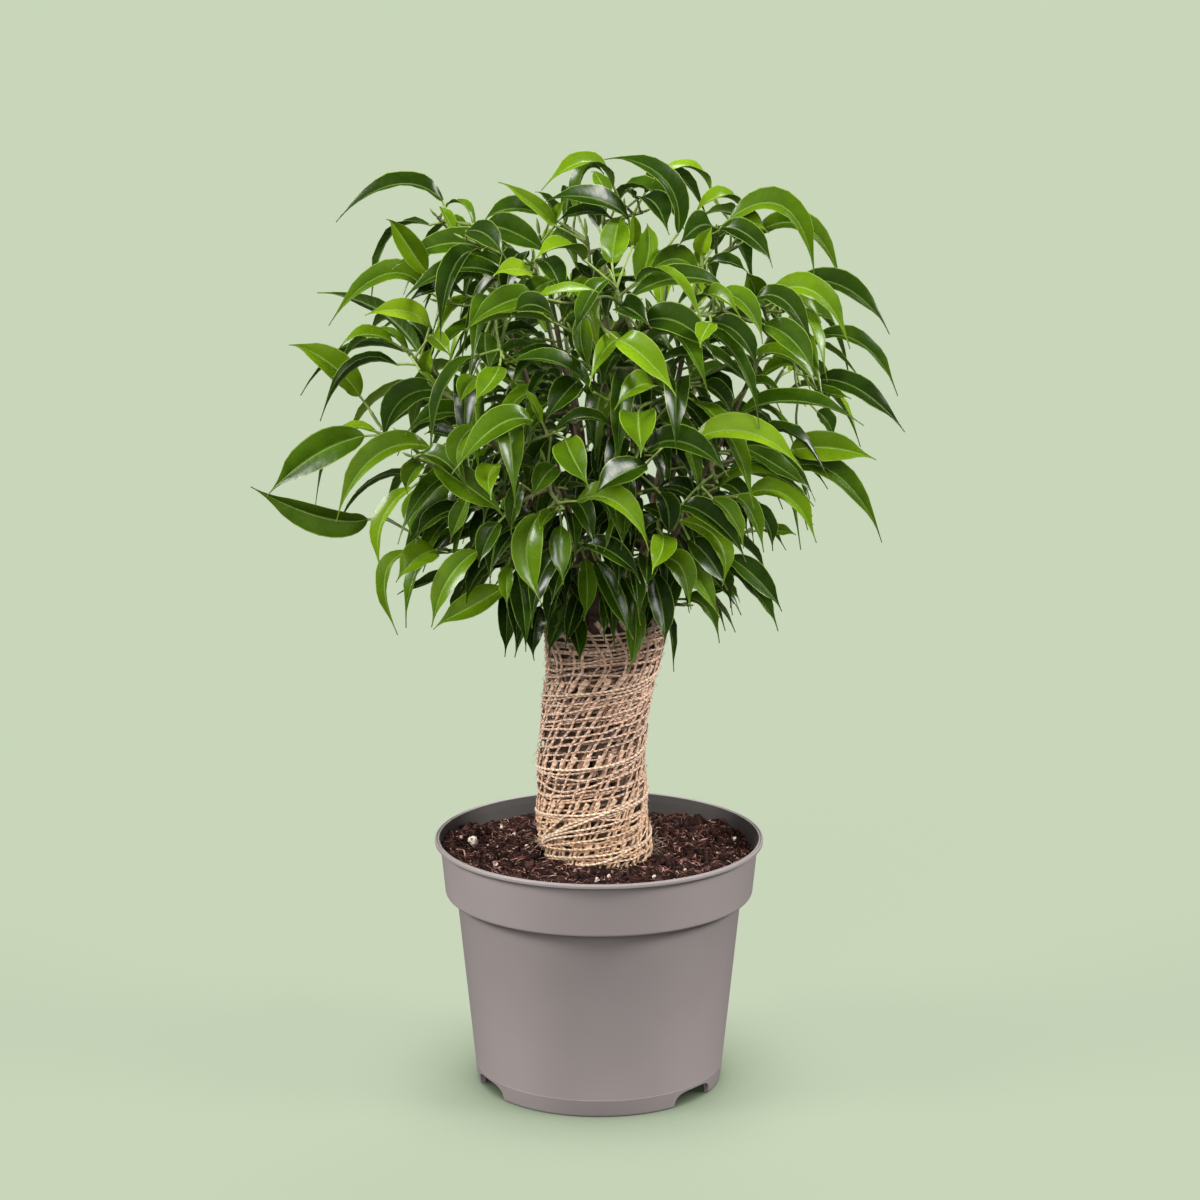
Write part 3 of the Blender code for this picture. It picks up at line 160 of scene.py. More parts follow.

# Leaves read one by one on that plane: base x z, middle x z, tip x z, full width, roll in degrees
# (0 shows the upper face, 90 the edge, 180 the underside), how far the tip comes forward,
# how near the front of the crown, and how light a green
LEAVES = (
    (-77.5, 459, -101, 467, -131, 450, 15, 55, 0, 0.25, 0.15),
    (-86, 423, -96, 438, -105, 452, 13, 15, 0.4, 0.55, 0.55),
    (-87, 415, -108, 422, -135.5, 398, 14, 35, 0, 0.5, 0.5),
    (-89.5, 382, -110, 404, -141, 414, 13, 125, 0, 0.1, 0.2),
    (-84.5, 396.5, -98, 404, -117, 402.5, 13, 30, 0.5, 0.75, 0.85),
    (-42, 424, -70, 438, -103, 426, 17, 35, 0, 0.55, 0.3),
    (-47, 420, -72, 425, -99.5, 409, 14, 45, 0, 0.7, 0.25),
    (-67, 412, -80, 415, -97, 408, 12, 50, 0.6, 0.6, 0.1),
    (-78, 456, -75, 449, -68, 436, 9, 50, 0.3, 0.35, 0.6),
    (-75, 458, -66, 456, -62, 441, 9, 65, 0.2, 0.1, 0.5),
    (7, 466.5, -6, 478.5, -28.5, 465.5, 14, 62, 0.5, 0.3, 0.62),
    (5, 462, 1, 468, -3, 475, 9, 20, -0.4, 0.1, 0.5),
    (15, 450, -2, 460, -27, 460.3, 16, 50, 0.4, 0.5, 0.12),
    (-22.5, 447, -33, 457, -50, 470, 10, 35, 0, 0.55, 0.6),
    (-22, 446.5, -20, 453, -16.5, 460, 8, 50, 0.3, 0.5, 0.6),
    (-23, 452, -25, 458, -31, 465, 10, 120, 0.2, 0.35, 0.15),
    (-25, 451, -42, 455, -58, 450, 15, 50, 0.3, 0.3, 0.3),
    (-57, 447, -42, 443, -24, 432, 17, 20, 0.4, 0.65, 0.2),
    (-66, 444, -56, 442, -47, 431, 14, 20, 0.6, 0.75, 0.15),
    (-34, 423, -42, 425, -53, 423, 12, 40, 0.7, 0.85, 0.9),
    (-8, 430, -18, 436, -33, 430, 16, 72, 0.6, 0.7, 0.75),
    (-29, 430, -23, 424, -18, 411, 14, 25, 0.5, 0.7, 0.12),
    (6.5, 428, 8, 440, 11, 453, 17, 5, -0.5, 0.6, 0.62),
    (17, 437, 17.5, 445, 16.5, 454.5, 7, 30, 0.2, 0.65, 0.6),
    (20, 418, 25, 434, 23.5, 449, 15, 25, -0.4, 0.6, 0.5),
    (20, 460.5, 28, 457, 34, 443.5, 17, 38, 0.5, 0.3, 0.08),
    (19, 460, 16, 462.5, 12.5, 465, 7, 60, 0.1, 0.2, 0.15),
    (39.5, 443, 32, 470, 2.5, 481.5, 16, 45, 0, 0.4, 0.2),
    (55.5, 465, 44, 476, 26.5, 469, 10, 68, 0.5, 0.2, 0.85),
    (50, 422, 37, 430, 22, 420, 15, 30, 0.5, 0.45, 0.35),
    (57, 446, 49, 446, 40, 437, 16, 15, 0.7, 0.6, 0.12),
    (61, 417, 36, 420, 11.5, 408, 15, 45, 0.2, 0.8, 0.25),
    (59, 412, 72, 408, 83, 389, 14, 40, 0.3, 0.85, 0.5),
    (49, 408, 58, 412, 71, 402, 13, 50, 0.5, 0.75, 0.42),
    (-22, 398, -44, 401, -68, 395, 15, 78, 0.2, 0.9, 0.75),
    (-33, 410, -47, 408, -67, 396, 16, 30, 0.2, 0.8, 0.35),
    (-43, 402, -33, 407, -21, 400, 14, 35, 0.5, 0.9, 0.1),
    (-32, 410.5, -17, 414, 0, 414.5, 10, 60, 0.4, 0.85, 0.75),
    (-37, 410, -30, 416, -22, 420, 12, 30, 0.5, 0.75, 0.4),
    (-26, 419, -20, 418, -12, 413, 12, 25, 0.5, 0.8, 0.5),
    (4, 420, -5, 410, -12, 393, 12, 30, 0.4, 0.85, 0.25),
    (10, 406, 17, 404, 26, 396, 15, 20, 0.6, 0.8, 0.1),
    (22, 398, 40, 398, 59, 381, 18, 25, 0.3, 0.9, 0.15),
    (30, 378, 45, 382, 62, 378, 12, 60, 0.3, 0.75, 0.2),
    (9.5, 389.5, 22, 381, 39, 362.5, 18, 25, 0.4, 1.0, 0.92),
    (30, 364, 20, 366, 8, 355, 15, 35, 0.6, 0.95, 0.65),
    (20, 353, 20, 345, 22, 331, 20, 0, 0.7, 1.0, 0.6),
    (-17, 339, -13, 329, -5, 315, 17, 0, 0.6, 1.0, 0.55),
    (24, 326, 10, 320, -2, 311, 17, 30, 0.5, 1.0, 0.2),
    (24, 333, 43, 337, 66, 321, 17, 35, 0.2, 0.95, 0.2),
    (-34, 348.5, -52, 345, -74, 322, 17, 30, 0.3, 1.0, 0.5),
    (-50, 376, -55, 367, -63, 359, 14, 30, 0.6, 0.95, 0.6),
    (-60, 371, -66, 366, -70, 357, 12, 30, 0.6, 0.9, 0.55),
    (-57, 393, -57, 384, -55, 374, 13, 10, 0.4, 0.7, 0.3),
    (-8, 402, -9, 388, -4, 374, 12, 20, 0.3, 0.85, 0.4),
    (-3, 363, -22, 378, -47, 378, 14, 55, 0.2, 0.9, 0.25),
    (-11, 378, -28, 383, -47, 380, 12, 70, 0.2, 0.8, 0.05),
    (-10, 369, -18, 361, -27, 349, 16, 20, 0.4, 0.85, 0.15),
    (-29, 348, -33, 357, -38, 366, 6, 40, 0, 0.95, 0.8),
    (-24, 341, -8, 350, 8, 344, 13, 60, 0.3, 0.8, 0.12),
    (-51, 326, -56, 319, -54, 309, 14, 20, 0.5, 0.95, 0.75),
    (-22, 325, -28, 319, -34, 309, 13, 15, 0.5, 0.95, 0.4),
    (-30, 322, -42, 326, -55, 321, 13, 50, 0.4, 0.8, 0.15),
    (-83, 326, -66, 314, -48, 301, 17, 20, 0.2, 1.0, 0.5),
    (-30, 300, -37, 280, -29.5, 255, 17, 0, 0.3, 1.05, 0.6),
    (-22, 302, -27, 298, -30, 291, 8, 30, 0.4, 1.0, 0.6),
    (-19, 294, -20, 281, -18, 265, 12, 10, 0.3, 0.9, 0.55),
    (-7, 277, -6, 262, -7, 246, 11, 5, 0.2, 0.8, 0.5),
    (-11, 307, 9, 306, 26, 283, 17, 40, 0.2, 1.05, 0.95),
    (-8, 285, 7, 280, 22, 266, 14, 30, 0.4, 0.95, 0.15),
    (32, 290, 32, 281, 26, 271, 14, 0, 0.6, 1.0, 0.9),
    (32, 277, 42, 272, 46, 252, 15, 25, 0.3, 1.0, 0.6),
    (27, 270, 32, 252, 34, 233, 13, 10, 0.3, 0.95, 0.1),
    (17, 258, 19, 240, 16, 219, 12, 5, 0.3, 1.0, 0.5),
    (-30, 252, -33, 240, -34, 225, 12, 0, 0.2, 0.6, 0.05),
    (-47, 264, -47, 246, -48, 227, 11, 0, 0.2, 0.7, 0.08),
    (-49, 262, -65, 252, -85, 242, 16, 30, 0.2, 0.9, 0.7),
    (-46, 274, -47, 264, -47, 253, 9, 20, 0.3, 0.9, 0.55),
    (-51, 296, -57, 286, -61, 274, 13, 20, 0.3, 0.95, 0.25),
    (-120.5, 361, -135, 377, -155.5, 388.5, 18, 20, 0, 0.2, 0.6),
    (-103.5, 388, -117, 392, -130, 387, 13, 60, 0, 0.1, 0.6),
    (-118.5, 340.5, -143, 331, -167.5, 311, 20, 15, 0, 0.3, 0.35),
    (-86, 335, -113, 330, -134, 298, 17, 35, 0.3, 0.7, 0.5),
    (-117.5, 297.5, -143, 299.5, -177, 315, 19, -30, 0, 0.2, 0.4),
    (-95, 314, -110, 297, -111.5, 271, 12, 50, 0.2, 0.6, 0.65),
    (-97, 281, -109, 267, -103.5, 238.5, 12, 50, 0.2, 0.5, 0.5),
    (-83, 281.5, -93, 277, -103, 266, 17, 20, 0.6, 0.8, 0.65),
    (-76, 272, -88, 264, -103, 260, 10, 60, 0.2, 0.5, 0.05),
    (-62, 281, -77, 266, -85, 242.5, 14, 25, 0.2, 0.9, 0.6),
    (-68, 303, -82, 299, -94, 287, 13, 40, 0.3, 0.7, 0.1),
    (-85, 312, -94, 304, -96, 291, 12, 30, 0.2, 0.6, 0.5),
    (-81, 364, -100, 358, -109, 337, 17, 30, 0.1, 0.6, 0.2),
    (-66, 349, -80, 352, -98, 342, 14, 40, 0.2, 0.75, 0.25),
    (-90, 374, -80, 365.5, -64, 357, 8, 75, 0, 0.8, 0.8),
    (-86, 372, -86.5, 379, -84, 386, 8, 20, 0.2, 0.75, 0.7),
    (-62, 346, -71, 335, -70, 322, 13, 30, 0.3, 0.95, 0.45),
    (-90, 331, -78, 327, -66, 312, 14, 30, 0.3, 0.95, 0.3),
    (-89, 326, -95, 320, -98, 312, 12, 30, 0.2, 0.8, 0.4),
    (109, 391, 132, 387, 150.5, 362.5, 13, 50, 0, 0.2, 0.25),
    (110, 369, 131, 364, 154, 343.5, 15, 40, 0, 0.3, 0.1),
    (71, 352, 100, 358, 133.5, 347, 17, 60, 0, 0.8, 0.3),
    (48, 338.5, 76, 342, 103.5, 323.5, 18, 38, 0.1, 1.0, 0.95),
    (97, 333, 116, 334.5, 140, 329, 17, 15, 0, 0.5, 0.7),
    (99, 325, 122, 319, 144.5, 287.5, 15, 35, 0, 0.5, 0.35),
    (73, 335, 90, 325, 106, 314, 13, 45, 0.1, 0.9, 0.25),
    (66, 323, 78, 328, 92, 320, 10, 60, 0.2, 0.85, 0.35),
    (60, 314, 83, 321, 109, 306, 12, 65, 0, 0.8, 0.45),
    (76, 311, 96, 309, 110, 286.5, 16, 40, 0, 0.75, 0.75),
    (110, 353, 115, 348, 118.5, 340, 11, 40, 0, 0.4, 0.15),
    (110, 331, 118, 326, 122.5, 318, 10, 40, 0, 0.3, 0.3),
    (76, 381, 94, 381, 110, 366, 13, 60, 0.1, 0.8, 0.45),
    (83, 397, 97, 389, 109, 371, 16, 25, 0.3, 0.85, 0.35),
    (86, 413, 109, 412.5, 125.5, 386, 17, 45, 0, 0.6, 0.62),
    (92, 410, 103, 408, 111, 399, 8, 60, 0, 0.5, 0.6),
    (99, 418, 123, 415.5, 146, 394, 16, 40, 0, 0.35, 0.2),
    (79, 410.5, 94, 408, 108, 384, 14, 35, 0.2, 0.75, 0.15),
    (77, 442, 103, 446, 121.5, 417, 15, 45, 0, 0.2, 0.35),
    (65.5, 450.5, 93, 455, 108.5, 419.5, 17, 42, 0, 0.45, 0.45),
    (70, 457, 60, 461, 46.5, 452.5, 13, 62, 0.3, 0.4, 0.65),
    (68, 452, 60, 454, 50, 451, 12, 110, 0.3, 0.3, 0.5),
    (61, 446, 74, 442, 87.5, 427.5, 14, 35, 0.3, 0.65, 0.12),
    (66, 452, 74, 450, 84, 444, 11, 30, 0.3, 0.3, 0.75),
    (51, 432, 52.5, 439, 57, 447, 10, 10, 0.1, 0.75, 0.7),
    (54, 428, 64, 428.5, 74, 424, 11, 55, 0.2, 0.6, 0.08),
    (78, 409, 77, 417, 73, 424, 14, 10, 0.3, 0.75, 0.45),
    (56, 398, 53, 393, 50, 387, 11, 20, 0.4, 0.95, 0.6),
    (56, 398, 70, 392, 80, 374, 14, 35, 0.2, 0.9, 0.1),
    (72, 363, 82, 367.5, 93, 361, 9, 60, 0.1, 0.6, 0.2),
    (52, 366, 60, 362, 68, 350, 13, 40, 0.2, 0.7, 0.08),
    (58, 308, 67, 299, 74, 284, 12, 40, 0.2, 1.0, 0.5),
    (42, 305, 58, 297, 75.5, 277.5, 16, 30, 0.2, 0.95, 0.15),
    (42, 297, 61, 286, 63.5, 264, 13, 30, 0.3, 1.0, 0.65),
    (70, 309, 77, 301, 84, 282, 12, 40, 0.1, 0.9, 0.35),
    (84, 292, 92, 291.5, 100, 290, 8, 40, 0.1, 0.7, 0.45),
    (76, 305, 85, 296, 88, 282.5, 11, 40, 0.1, 0.6, 0.1),
    (66, 278, 80, 267, 93.5, 251, 14, 30, 0.1, 0.9, 0.2),
    (66, 273, 80, 259, 92, 241, 12, 45, 0.1, 0.95, 0.25),
    (46, 287, 56, 277, 65, 262, 15, 25, 0.2, 0.85, 0.1),
    (42, 279, 51, 266, 61, 247.5, 13, 25, 0.2, 1.0, 0.6),
    (44, 256, 54, 252, 62, 234.5, 11, 40, 0.1, 0.7, 0.4),
    (55, 270, 64, 263, 72.5, 256, 9, 50, 0.1, 0.7, 0.2),
    (-62, 270, -70, 258, -77, 249, 10, 40, 0.1, 0.6, 0.15),
    (-67, 308, -71, 298, -76, 287, 11, 30, 0.1, 0.85, 0.4),
    (16, 320, 14, 303, 12, 283, 11, 15, 0.2, 0.85, 0.35),
    (-12, 280, -22, 272, -31, 260, 13, 30, 0.2, 0.85, 0.15),
    (6, 266, 12, 260, 16, 249, 12, 20, 0.2, 0.8, 0.3),
    (-10, 256, -16, 249, -22, 242, 9, 30, 0.1, 0.7, 0.4),
)

# Rings of a finely made leaf blade, and points across it
LEAF_STEPS = 15
LEAF_COLUMNS = 9
PETIOLE_SIDES = 7
# How finely the bark is made along a stem or twig
WOOD_STEP = 3.0
# Leaves added here to the ones above, at most, and the lowest point of the low ones
MORE_LEAVES = 360
LOW_LEAVES = 90
INNER_LEAVES = 185
LOWEST_LEAF = 246.0
# The wood that they grow from: lowest and highest point, and reach from the middle for the inner ones
LOW_WOOD = (249, 292)
INNER_WOOD = (268, 385)
INNER_REACH = 70
OUTER_WOOD = 262
# Open places at the crown's edge as the camera sees them: x, z, half width, half height
OPEN_AIR = (
    (-112, 369, 20, 23),
    (-110, 310, 15, 20),
    (-132, 315, 10, 14),
    (-110, 440, 15, 15),
    (94, 431, 10, 12),
    (83, 267, 15, 20),
    (50, 246, 12, 8),
    (-52, 250, 12, 10),
    (-61, 472, 16, 14),
    (132, 350, 12, 14),
    (94, 300, 10, 10),
    (67, 436, 12, 12),
    (95, 372, 13, 9),
    (63, 372, 13, 8),
    (107, 349, 12, 10),
    (-2, 444, 9, 11),
    (14, 427, 8, 10),
    (83, 317, 12, 7),
)
EXTRA_LEAVES = (
    (7, 450, -6, 453.5, -21, 449.5, 12, 60, 0.4, 0.3, 0.05),
    (-3, 422, -8, 424, -13, 430, 7, 40, 0.3, 0.4, 0.15),
    (6, 424, 1, 430, -3, 421, 11, 40, 0.5, 0.3, 0.08),
    (16, 412, 8, 415, 0, 412, 12, 50, 0.5, 0.6, 0.05),
    (9, 302, 7, 293, 3, 282, 6, 50, 0.2, 0.9, 0.5),
    (-68, 336, -78, 341, -88, 342.5, 12, 50, 0.2, 0.6, 0.1),
    (-84, 392, -80, 388, -74, 381, 10, 20, 0.4, 0.8, 0.6),
    (108, 365, 116, 362, 127, 360.5, 9, 50, 0, 0.2, 0.5),
    (51, 368, 60, 368, 69, 361, 12, 40, 0.2, 0.6, 0.05),
    (53, 257, 59, 260, 66, 261, 8, 50, 0, 0.4, 0.15),
    (30, 297, 25, 294, 20, 287, 11, 20, 0.2, 0.7, 0.2),
    (31, 311, 35, 302, 35, 288, 13, 20, 0.2, 0.8, 0.08),
    (-18, 309, -25, 306, -31, 297, 14, 20, 0.3, 0.8, 0.12),
    (-40, 316, -43, 305, -45, 291, 10, 20, 0.2, 0.85, 0.3),
)

# Netting: the wound strip's upper edge, as turns from the front, height and rise for each turn
STRIP_EDGE = (
    (-1.45, 97, 20),
    (-1, 106, 20),
    (0, 128, 20),
    (1, 150, 20),
    (2, 174, 20),
    (3, 214, 24),
    (4, 245, 16),
    (4.5, 248, 2),
)
STRIP_WIDTH = 45.0
STRIP_ROWS = 10
ROW_GAP = 4.5
WARPS_A_TURN = 28
TURN_LENGTH = 179.0
WEFT_STEP = 2.2
WARP_STEP = 2.0
LOW_LEAN = 27.0
TOP_LEAN = -28.0
# Layers of it, the outer one first and then what shows through its mesh: first and last turn, how
# far down and how deep it lies, how its warps lean below and above, and every how many they are
# laid (at 0 there are no warps, and only each third weft)
NET_LAYERS = (
    (-1.45, 4.5, 0, 0, LOW_LEAN, TOP_LEAN, 1),
    (3.05, 4.5, 9, 1.7, LOW_LEAN, LOW_LEAN, 3),
    (-1.45, 3.4, 14, 1.9, LOW_LEAN, LOW_LEAN, 0),
    (1.6, 4.5, 6, 2.8, LOW_LEAN, LOW_LEAN, 0),
    (3.05, 4.5, 15, 2.4, LOW_LEAN, TOP_LEAN, 2),
)
# How deep in the soil the yarns end
BURIED = 7
# Loose strands that fan out from a twist at the foot's left: turn and height at their first,
# middle and last points, shade, size
FOOT_STRANDS = (
    ((-0.182, 131), (-0.03, 145.5), (0.17, 156.5), 1, 0.72),
    ((-0.180, 130), (-0.07, 139.5), (0.15, 148), 0.9, 0.62),
    ((-0.184, 129), (-0.01, 136), (0.18, 142), 0.5, 0.55),
    ((-0.184, 128.5), (-0.05, 131.5), (0.16, 136.5), 0.6, 0.55),
    ((-0.178, 131.5), (-0.12, 141), (-0.06, 152), 0.8, 0.75),
    ((-0.176, 131), (-0.10, 140), (-0.01, 149), 0.7, 0.65),
    ((-0.174, 130.5), (-0.09, 136.5), (0.04, 142.5), 0.9, 0.60),
    ((-0.12, 123.5), (0.01, 125), (0.20, 137), 1, 0.66),
)
JUTE_HAIRS = 700
FOOT_HAIRS = 170

# Soil
SOIL_STEPS = 400
SOIL_RINGS = 68
SOIL_LUMPS = 420
SOIL_FIBRES = 7400
PERLITE = 24
# The open ring of soil between the trunk and the pot
SOIL_RING = (32.5, 79.5)
# How far the soil is heaped up against the pot: degrees from the right by way of the back, rise
HEAPS = (
    (-180, 8.8),
    (-150, 6.0),
    (-110, 2.0),
    (-30, 2.0),
    (5, 1.0),
    (20, 1.5),
    (34, 6.3),
    (45, 2.0),
    (60, 2.8),
    (70, 0.5),
    (122, 0.3),
    (134, 1.2),
    (150, 4.5),
    (167, 7.6),
    (180, 8.8),
)
# The biggest white grains: x, y, size
BIG_PERLITE = (
    (-66, 11, 2.8),
    (-53, -22, 1.3),
    (-36.6, -10.5, 1.5),
    (-1, -49, 1.3),
    (5, -46, 1),
    (9, -49, 0.8),
    (28, -42, 1),
    (-52, 46, 1),
    (-45, 38, 0.9),
    (44, -30, 0.9),
    (-20, -55, 0.9),
)

# Light and floor
FLOOR_COLOR = (0.052, 0.060, 0.044)
FLOOR_GLOW = (0.482, 0.556, 0.408)
FLOOR_SHADOW = (0.180, 0.228, 0.146)
WORLD_COLOR = (1.0, 1.0, 0.97)
WORLD_STRENGTH = 0.10
FLOOR_SIZE = 60.0
# Each lamp: name, strength, colour, and in degrees how wide it looks, how high it stands and
# how far round from the front
LAMPS = (
    ("left", 3.3, (1, 0.98, 0.95), 20, 36, -74),
    ("right", 3.4, (1, 0.98, 0.96), 20, 35, 76),
    ("back", 1.5, (0.94, 0.98, 1), 16, 62, 170),
    ("front", 1.7, (1, 0.99, 0.97), 50, 26, -10),
)


def unit(vector):
    return vector / max(1e-9, float(np.linalg.norm(vector)))


def turned(vector, start, end):
    """The vector carried along by the turn that takes one direction to another."""
    axis = np.cross(start, end)
    sine = float(np.linalg.norm(axis))
    if sine < 1e-6:
        return vector
    axis = axis / sine
    cosine = float(start @ end)
    return vector * cosine + np.cross(axis, vector) * sine + axis * (axis @ vector) * (1 - cosine)


def trunk(height):
    """Sideways shift of the trunk's middle and its outer radius at a height, or at many."""
    heights, shifts, radii = np.array(TRUNK).T
    return np.interp(height, heights, shifts), np.interp(height, heights, radii)


def on_sight_line(x, z, y):
    """The point at depth y on the line from the eye through (x, 0, z)."""
    return EYE + (np.array((x, 0.0, z)) - EYE) * ((y - EYE[1]) / -EYE[1])


def front_depth(x, z):
    across = (x - CROWN_MIDDLE[0]) / CROWN_HALF[0]
    up = (z - CROWN_MIDDLE[2]) / CROWN_HALF[2]
    return -CROWN_HALF[1] * math.sqrt(max(1 - across**2 - up**2, 0.04))


def curve(a, b, c, t):
    """A point on the way from a to c, which is pulled towards b."""
    return a * (1 - t) ** 2 + b * 2 * t * (1 - t) + c * t * t


# Leaf geometry: a midrib bent as a quadratic curve, and a folded blade that keeps its side to it
def drawn_leaf(row, shift):
    bx, bz, mx, mz, tx, tz, width, roll, lean, near, tone = row
    base_y = front_depth(bx, bz) * near + shift
    tip_y = base_y - lean * LEAN
    base = on_sight_line(bx, bz, base_y)
    tip = on_sight_line(tx, tz, tip_y)
    middle = on_sight_line(mx, mz, (base_y + tip_y) / 2)
    chord = unit(tip - base)
    towards = EYE - middle
    towards = unit(towards - chord * float(towards @ chord))
    upper = np.cross(towards, chord) * (1.0 if tx >= bx else -1.0)
    turn = math.radians(roll)
    facing = towards * math.cos(turn) + upper * math.sin(turn)
    return {
        "base": base,
        "bend": middle * 2 - (base + tip) / 2,
        "tip": tip,
        "width": width,
        "facing": facing,
        "tone": tone,
        "drawn": True,
    }


def midrib(leaf, u):
    base, bend, tip = leaf["base"], leaf["bend"], leaf["tip"]
    point = curve(base, bend, tip, u)
    along = unit((bend - base) * (1 - u) + (tip - bend) * u)
    facing = turned(leaf["facing"], unit(tip - base), along)
    facing = unit(facing - along * float(facing @ along))
    return point, along, facing


def leaf_ring(leaf, u, extra):
    """Left margin, top, right margin and bottom of the folded blade, made larger all round."""
    point, along, facing = midrib(leaf, u)
    side = np.cross(along, facing)
    fold = math.radians(FOLD_DEG) * min(1.0, u * 6)
    body = math.sin(math.pi * (u / TIP_START) ** 0.82) ** 0.8 * leaf["width"] / 2
    half = max(body, 0.9 * (1 - u) + 0.35) + extra
    thick = BLADE_THICKNESS / 2 + extra
    lift = facing * half * math.sin(fold)
    return [
        point - side * half * math.cos(fold) + lift,
        point + facing * thick,
        point + side * half * math.cos(fold) + lift,
        point - facing * thick,
    ]


def blade_spread(leaf):
    """Where along the midrib the built blade has its rings, besides its base and its tip."""
    return (0.23, 0.66) if leaf["drawn"] else (0.4,)


def rings_to_mesh(rings, end=None):
    """Four-sided rings joined into a closed mesh, its left and right halves split alike on both faces."""
    points = [p for ring in rings for p in ring]
    faces = [(2, 1, 0), (3, 2, 0)]
    for i in range(len(rings) - 1):
        a, b = 4 * i, 4 * i + 4
        faces += [(a, a + 1, b + 1), (a, b + 1, b), (a + 1, a + 2, b + 1), (a + 2, b + 2, b + 1)]
        faces += [(a + 2, a + 3, b + 3), (a + 2, b + 3, b + 2), (a + 3, a, b + 3), (a, b, b + 3)]
    last = 4 * len(rings) - 4
    if end is None:
        faces += [(last, last + 1, last + 2), (last, last + 2, last + 3)]
    else:
        points.append(end)
        faces += [(last + k, last + (k + 1) % 4, len(points) - 1) for k in range(4)]
    return np.array(points), faces


def tube_mesh(line, radii, extra):
    """A square tube along the line, made larger all round."""
    rings = []
    for i, point in enumerate(line):
        along = unit(line[min(i + 1, len(line) - 1)] - line[max(i - 1, 0)])
        across = unit(np.cross(along, ASIDE))
        other = np.cross(along, across)
        reach = radii[i] + extra
        ways = (across, other, -across, -other)
        rings.append([point + way * reach for way in ways])
    return rings_to_mesh(rings)


def petiole_mesh(start, end, extra):
    return tube_mesh([start, end], [PETIOLE_RADIUS] * 2, extra)


def bezier(a, b, c, d, t):
    s = 1 - t
    return a * s**3 + b * 3 * s * s * t + c * 3 * s * t * t + d * t**3


# Stems, each a line of points with a thickness, standing in the bundle and fanning out above it
def bundle_places():
    places = [(0.0, 0.0)]
    places += [(2 * PACKING, math.radians(60 * k)) for k in range(6)]
    places += [(3.863 * PACKING, math.radians(15 + 30 * k)) for k in range(12)]
    return places


def stem_line(index):
    reach, angle = bundle_places()[index]
    narrowest = min(row[2] for row in TRUNK)
    line, radii = [], []
    for height in (STEM_HOLE_FLOOR + GAP,) + tuple(row[0] for row in TRUNK):
        shift, outer = trunk(height)
        scale = outer / narrowest
        place = (math.cos(angle) * reach * scale + shift, math.sin(angle) * reach * scale, height)
        line.append(np.array(place))
        radii.append(STEM_RADIUS if height < TRUNK[-1][0] else TOP_STEM_RADIUS)
    start = line[-1]
    end = np.array(STEM_ENDS[index], float)
    rise = end[2] - start[2]
    outward = unit(start - line[-2] + (end - start) * 0.1)
    lift = start + outward * rise * 0.38
    arrive = end - unit((end - start) * (1.0, 1.0, 0.9)) * rise * 0.35
    for t, radius in STEM_THINNING:
        line.append(bezier(start, lift, arrive, end, t))
        radii.append(radius)
    return line, radii


class Plant:
    """What is placed so far: the pieces to keep clear of, and the wood that a leaf may grow from."""

    def __init__(self):
        self.boxes = []
        self.trees = []
        self.owners = []
        self.kinds = []
        self.wood = []
        self.twigs = []
        self.leaves = []

    def hits(self, mesh, skip_wood_of=None):
        points, faces = mesh
        low, high = points.min(axis=0), points.max(axis=0)
        boxes = np.array(self.boxes)
        near = np.all((boxes[:, 0] < high) & (boxes[:, 1] > low), axis=1)
        tree = None
        for i in np.nonzero(near)[0]:
            if self.kinds[i] == "wood" and self.owners[i] == skip_wood_of:
                continue
            if tree is None:
                tree = BVHTree.FromPolygons(points.tolist(), faces)
            if tree.overlap(self.trees[i]):
                return True
        return False

    def add(self, mesh, owner, kind):
        points, faces = mesh
        self.boxes.append((points.min(axis=0), points.max(axis=0)))
        self.trees.append(BVHTree.FromPolygons(points.tolist(), faces))
        self.owners.append(owner)
        self.kinds.append(kind)

    def add_wood(self, line, radii, owner, first):
        """Notes the places along the line, from its given point on, where leaves may grow."""
        for i in range(first, len(line) - 1):
            count = max(1, int(np.linalg.norm(line[i + 1] - line[i]) / WOOD_SPACING))
            for k in range(count):
                t = k / count
                spot = line[i] * (1 - t) + line[i + 1] * t
                radius = radii[i] * (1 - t) + radii[i + 1] * t
                self.wood.append((spot, unit(line[i + 1] - line[i]), radius, owner))


def drum_mesh(rows, sides):
    """A closed drum through rings given as height, sideways shift and radius, to keep clear of."""
    points, faces = [], []
    for height, shift, radius in rows:
        for k in range(sides):
            angle = 2 * math.pi * k / sides
            points.append((shift + radius * math.cos(angle), radius * math.sin(angle), height))
    for i in range((len(rows) - 1) * sides):
        j = i - i % sides + (i + 1) % sides
        faces += [(i, j, j + sides), (i, j + sides, i + sides)]
    return np.array(points), faces


def blade_meshes(leaf, extra):
    """The blade as it curves and as it is built here, with few rings, both a little larger all round."""
    tip = leaf["tip"] + unit(leaf["tip"] - leaf["bend"]) * extra
    return [
        rings_to_mesh([leaf_ring(leaf, u, extra) for u in spread], tip)
        for spread in ((0.04, 0.16, 0.45, 0.78), (0.04,) + blade_spread(leaf))
    ]


